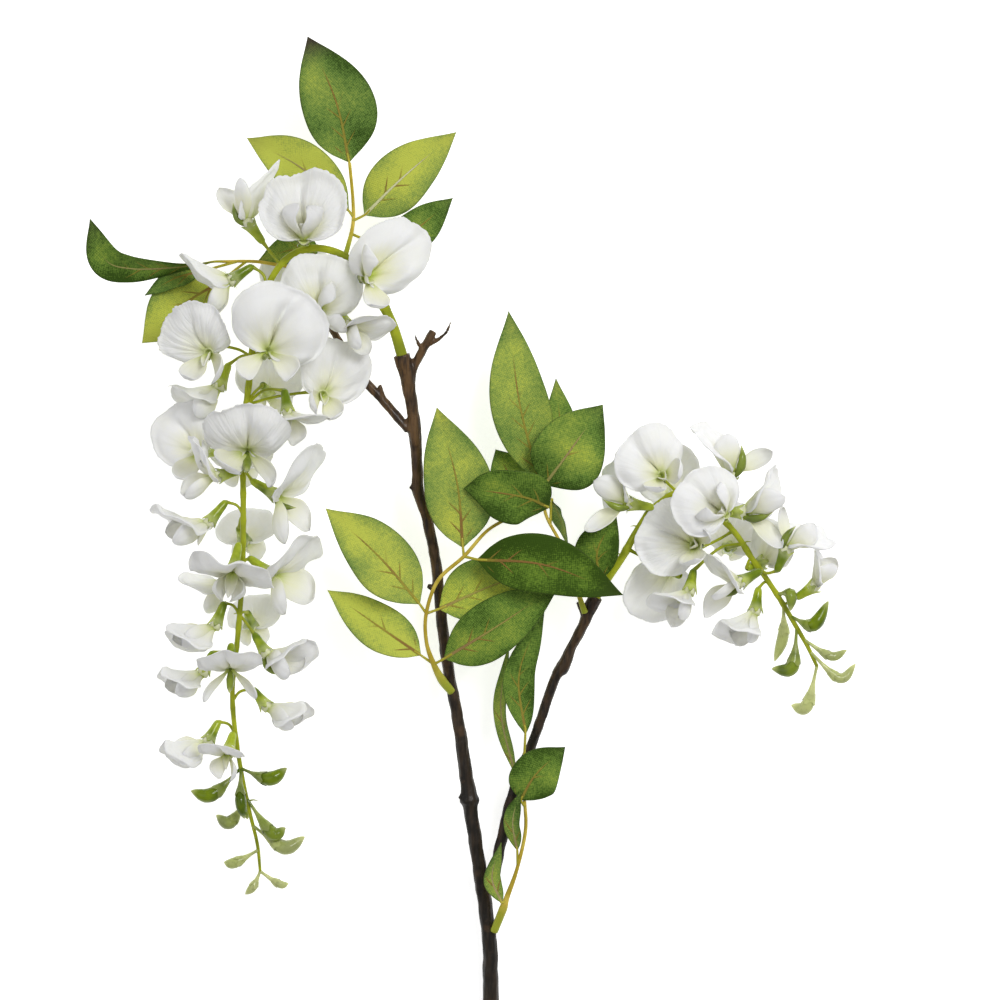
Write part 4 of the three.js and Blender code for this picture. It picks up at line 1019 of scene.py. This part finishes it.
def bud(form, row, knots, tone, draw):
    """A bud like a claw: a thin stalk, a toothed calyx, a fat belly and a fine curved tip."""
    base, belly, tip, radius = row
    start = nearest_point(knots, base)
    shares = np.linspace(0, 1, 37)
    line = smooth_points([start, belly, tip], shares)
    stations = [0, 0.08, 0.18, 0.28, 0.38, 0.5, 0.64, 0.78, 0.9, 0.97, 1]
    swollen = [share * radius for share in (0.8, 1.2, 1.42, 1.38, 1.08, 0.64, 0.28)]
    radii = np.interp(shares, stations, [0.85, 0.7, 0.9, *swollen, 0.06])
    pale = tone + 0.45 * smoothstep(shares, 0.8, 1) + 0.25 * hump(shares, 0.2, 0.1)
    form.rod(line, radii, sides=16, flatness=BUD_FLATNESS, paleness=np.minimum(pale, 1)[:, None])
    below_belly = slice(11, 15)
    collar = np.linspace(0, 1, 4)[:, None]
    angle = circle(20)[None, :]
    tooth = np.abs(np.cos(2 * angle + draw.uniform(0, 3))) ** 3
    radius = radii[below_belly, None] + 0.15 + (0.15 + 0.5 * tooth) * collar
    line = line[below_belly]
    points = rings(line, radius, angle, BUD_FLATNESS, (tooth * collar * 1.8, directions(line)))
    form.grid(points, closed=True, paleness=0.8 * tone + 0.1 + 0.1 * collar)


def strand(form, station, draw):
    """A short strand that stands out of a stem."""
    angle = draw.uniform(0, 2 * math.pi)
    reach = draw.uniform(2.5, 5)
    c, s = math.cos(angle), math.sin(angle)
    tip = station + reach * np.array([c, 0.3 * s, s * 0.6])
    middle = (station + tip) / 2 + [0, 0.5, 0]
    line = smooth_points([station, middle, tip], np.linspace(0, 1, 6))
    form.rod(line, np.linspace(0.5, 0.12, 6), sides=6, paleness=0.2)


def raceme(name, rows, florets, buds, tones):
    """The green stem of a raceme, swollen at each floret, with all that grows from it but petals."""
    draw = np.random.default_rng(len(rows))
    node = f"{name}_raceme_stem"
    # Pedicels and buds leave the stem at these points.
    knots, _ = smooth_path(rows, 24)
    points, radii = smooth_path(rows, 240)
    stem, calyxes, bud_form, thread_form = Form(), Form(), Form(), Form()
    joints = [nearest_point(points, row[0]) for row in florets.values()]
    swelling = sum(hump(distances(points, joint), 0, 1.6) for joint in joints)
    radii = radii * (1 + 0.16 * np.minimum(swelling, 1))
    stem.rod(points, radii, sides=14, rib_height=0.03, paleness=0.1)
    for row in florets.values():
        pedicel_and_calyx(stem, calyxes, row, knots, draw)
        threads(thread_form, row, draw)
    for row, tone in zip(buds, tones):
        bud(bud_form, row, knots, tone, draw)
    for k in range(STRANDS_ON_A_STEM):
        strand(stem, points[40 + k * 20 + draw.integers(0, 12)], draw)
    stem.piece(f"{name}_raceme_stem_and_pedicels", node, "green_stem", STEM_PLASTIC)
    calyxes.piece(f"{name}_raceme_calyxes", node, "green_stem", CALYX_PLASTIC, CALYX_WALL)
    bud_form.piece(f"{name}_raceme_buds", node, "green_stem", BUD_PLASTIC)
    thread_form.piece(f"{name}_raceme_threads", node, "petal", THREADS)


# ---------------------------------------------------------------- branch
# The size of the cells in which the branch's rods are joined into one skin.
BARK_VOXEL = 0.6
# The ends that are cut flat.
CUT_ENDS = [MAIN_STEM[0], TWIGS[0][-1], TWIGS[3][-1]]


def branch():
    """The stem, its fork, twigs and nubs, joined into one skin with a carved bark."""
    wood = Form()
    rods = [(MAIN_STEM, 320, 28), (RIGHT_FORK, 140, 24)]
    rods += [(rows, 40, 18) for rows in TWIGS] + [(rows, 12, 14) for rows in NUBS]
    for rows, steps, sides in rods:
        wood.rod(*smooth_path(rows, steps), sides)
    made = wood.piece("branch_bark", "branch", "branch", BARK)
    skin = made.modifiers.new("one skin", "REMESH")
    skin.mode = "VOXEL"
    skin.voxel_size = BARK_VOXEL * MM
    skin.use_smooth_shade = True
    graph = bpy.context.evaluated_depsgraph_get()
    joined = bpy.data.meshes.new_from_object(made.evaluated_get(graph))
    made.modifiers.clear()
    made.data = joined
    carve_bark(joined)
    joined.shade_smooth()


def carve_bark(mesh):
    """Presses lengthwise ridges, rings and small lumps into the bark."""
    count = len(mesh.vertices)
    points = np.empty(count * 3)
    normals = np.empty(count * 3)
    mesh.vertices.foreach_get("co", points)
    mesh.vertices.foreach_get("normal", normals)
    points, normals = points.reshape(-1, 3) / MM, normals.reshape(-1, 3)
    angle = np.arctan2(normals[:, 2], normals[:, 0])
    x, y, z = points.T
    ridge = np.sin(5 * angle + 0.12 * y + 1.5 * np.sin(0.05 * y)) * np.sin(0.21 * y + 2 * angle)
    lumps = np.sin(0.55 * x + 0.8 * np.sin(0.31 * y)) * np.sin(0.47 * y + 0.6 * z)
    fine = np.sin(1.9 * x + 1.3 * z) * np.sin(1.1 * y + 2.1 * z)
    lift = 0.13 * ridge + 0.16 * lumps + 0.05 * fine
    near_end = sum(hump(distances(points, end[:3]), 0, 1.2 * end[3]) for end in CUT_ENDS)
    near_end = np.minimum(near_end, 1)
    points = points + normals * (lift * (1 - near_end))[:, None]
    mesh.vertices.foreach_set("co", (points * MM).reshape(-1))
    carry(mesh, "up_the_branch", smoothstep(y, -90, 60))
    carry(mesh, "cut_wood", near_end * (np.abs(normals[:, 1]) > 0.8))
    mesh.update()


# ---------------------------------------------------------------- leaves
LEAF_CLOTH = 0.3
# The share of its length at which a leaf of LEAF_OUTLINE is widest.
LEAF_WIDEST = 0.44


def leaf(form, stalks, row, print_and_shade_row, draw):
    """A folded leaf with wavy edges along its midrib, and its short stalk."""
    start, rib, width, roll, *twist = row
    tip_roll, widest = twist or (roll, LEAF_WIDEST)
    # dark is how dark the leaf's print is, together with painted shade for a leaf in the shade of others.
    yellow, dark, brown, pale = print_and_shade_row
    share, edge = sheet(57, 21)
    middle = smooth_points(rib, share[:, 0])
    along = directions(middle)
    flat = unit(np.array([0, 0, 1.0]) - along[:, 2:] * along)
    turn = np.radians(lerp(roll, tip_roll, share))
    turn = turn + 0.10 * np.sin(3 * share + draw.uniform(0, 6)) * share
    normal = flat * np.cos(turn) + np.cross(along, flat) * np.sin(turn)
    side = np.cross(along, normal)
    # Half its width at each share of its length.
    outline = smooth_points(LEAF_OUTLINE, np.linspace(0, 1, 201))
    place = np.interp(share, [0, widest, 1], [0, LEAF_WIDEST, 1])
    half = np.maximum(0.5 * width * np.interp(place, outline[:, 0], outline[:, 1]), 0.08)
    # How high its halves fold up and wave, and how far each point lies from the midrib.
    wave = draw.uniform(0, 2 * math.pi)
    rise = LEAF_FOLD * np.abs(edge) ** 1.2 * half
    rise = rise + 0.05 * half * np.sin(9 * share + wave) * edge**2
    rise = rise + 0.04 * half * np.sin(15 * share + 2 * wave) * edge**3
    offset = half * edge * (1 + 0.035 * np.sin(7 * share + 2 * wave) * edge)
    length = np.append(0, np.cumsum(np.linalg.norm(np.diff(middle, axis=0), axis=1)))
    form.grid(
        moved(middle, (offset, side), (rise, normal)), along=share, along_mm=length[:, None],
        side_mm=offset, to_edge=np.abs(edge), yellowness=yellow, darkness=dark, brown_tip=brown,
        pale_rib=pale, seed=draw.uniform(0, 1),
    )
    line = smooth_points([start, rib[0], middle[4]], np.linspace(0, 1, 12))
    stalks.rod(line, np.linspace(0.62, 0.4, 12), sides=8, paleness=0.5)


def leaf_spray(name, row):
    """A leaf spray: its main stalk, green where it is joined, and the leaves on it."""
    draw = np.random.default_rng(sum(ord(c) for c in name))
    node = f"leaf_spray_{name}"
    leaves, stalks = Form(), Form()
    points, radii = smooth_path(row["stalk"], 70)
    sheath = 1 - smoothstep(np.linspace(0, 1, len(points)), 0.05, 0.3)
    stalks.rod(points, radii, sides=12, paleness=sheath[:, None])
    for leaf_row, print_and_shade_row in zip(row["leaves"], LEAF_PRINTS_AND_SHADE[name]):
        leaf(leaves, stalks, leaf_row, print_and_shade_row, draw)
    leaves.piece(f"{name}_leaves", node, "leaf", LEAF_FABRIC, LEAF_CLOTH)
    stalks.piece(f"{name}_leaf_stalk", node, "leaf", LEAF_STALK_PLASTIC)


branch()
raceme("long", LONG_STEM, LONG_FLORETS, LONG_BUDS, LONG_BUD_TONES)
raceme("short", SHORT_STEM, SHORT_FLORETS, SHORT_BUDS, SHORT_BUD_TONES)
for letter, row in LONG_FLORETS.items():
    floret("long", letter, row)
for letter, row in SHORT_FLORETS.items():
    floret("short", letter, row)
for name, row in LEAF_SPRAYS.items():
    leaf_spray(name, row)


# ---------------------------------------------------------------- floor, light and camera
# The width that the camera sees at the spray's middle height, and where the middle of that lies.
FRAME_WIDTH = 420
FRAME_MIDDLE = [10.9, 32.6, 35]
LENS = 135
SENSOR = 36


def floor():
    """A pale square a little below the spray, which gives off some light itself."""
    f = Finish("pale_floor", Roughness=0.9, Emission_Color=(1, 1, 1), Emission_Strength=0.62)
    grain = f.cloud(f.place(), scale=30)
    colour = f.blend(grain, (0.90, 0.90, 0.90), (0.93, 0.93, 0.93))
    half, level = 3.0, -0.3 * MM
    mesh = bpy.data.meshes.new("floor")
    corners = [(-half, -half, level), (half, -half, level), (half, half, level), (-half, half, level)]
    mesh.from_pydata(corners, [], [(0, 1, 2, 3)])
    mesh.materials.append(f.surface(Base_Color=colour))
    add_object("floor", mesh)


def light(kind, name, place, target, power, **settings):
    lamp = bpy.data.lights.new(name, kind)
    lamp.energy = power
    for key, value in settings.items():
        setattr(lamp, key, value)
    made = add_object(name, lamp)
    made.location = place
    aim = Vector(np.subtract(target, place))
    made.rotation_euler = aim.to_track_quat("-Z", "Y").to_euler()


def studio():
    world = bpy.data.worlds.new("studio")
    bpy.context.scene.world = world
    world.use_nodes = True
    sky = world.node_tree.nodes["Background"]
    sky.inputs["Color"].default_value = (1, 1, 1, 1)
    sky.inputs["Strength"].default_value = 0.42
    light("AREA", "large soft box", (0.6, 0.7, 1.5), (0, 0, 0), power=15, size=0.6)
    light("AREA", "fill", (-1.1, 0.1, 1.4), (0, 0, 0), power=4, size=1.4)
    light(
        "SPOT", "right light", (0.35, 0.25, 1.2), (0.09, -0.01, 0.03), power=6.3,
        spot_size=math.radians(19), spot_blend=1.0, shadow_soft_size=0.15,
    )
    bpy.context.scene.view_settings.view_transform = "Standard"
    bpy.context.scene.view_settings.look = "None"


def camera():
    """A camera straight above the spray."""
    lens = bpy.data.cameras.new("camera")
    lens.lens = LENS
    lens.sensor_width = SENSOR
    lens.clip_end = 20
    made = add_object("camera", lens)
    x, y, z = FRAME_MIDDLE
    made.location = (x * MM, y * MM, (z + FRAME_WIDTH * LENS / SENSOR) * MM)
    bpy.context.scene.camera = made


floor()
studio()
camera()
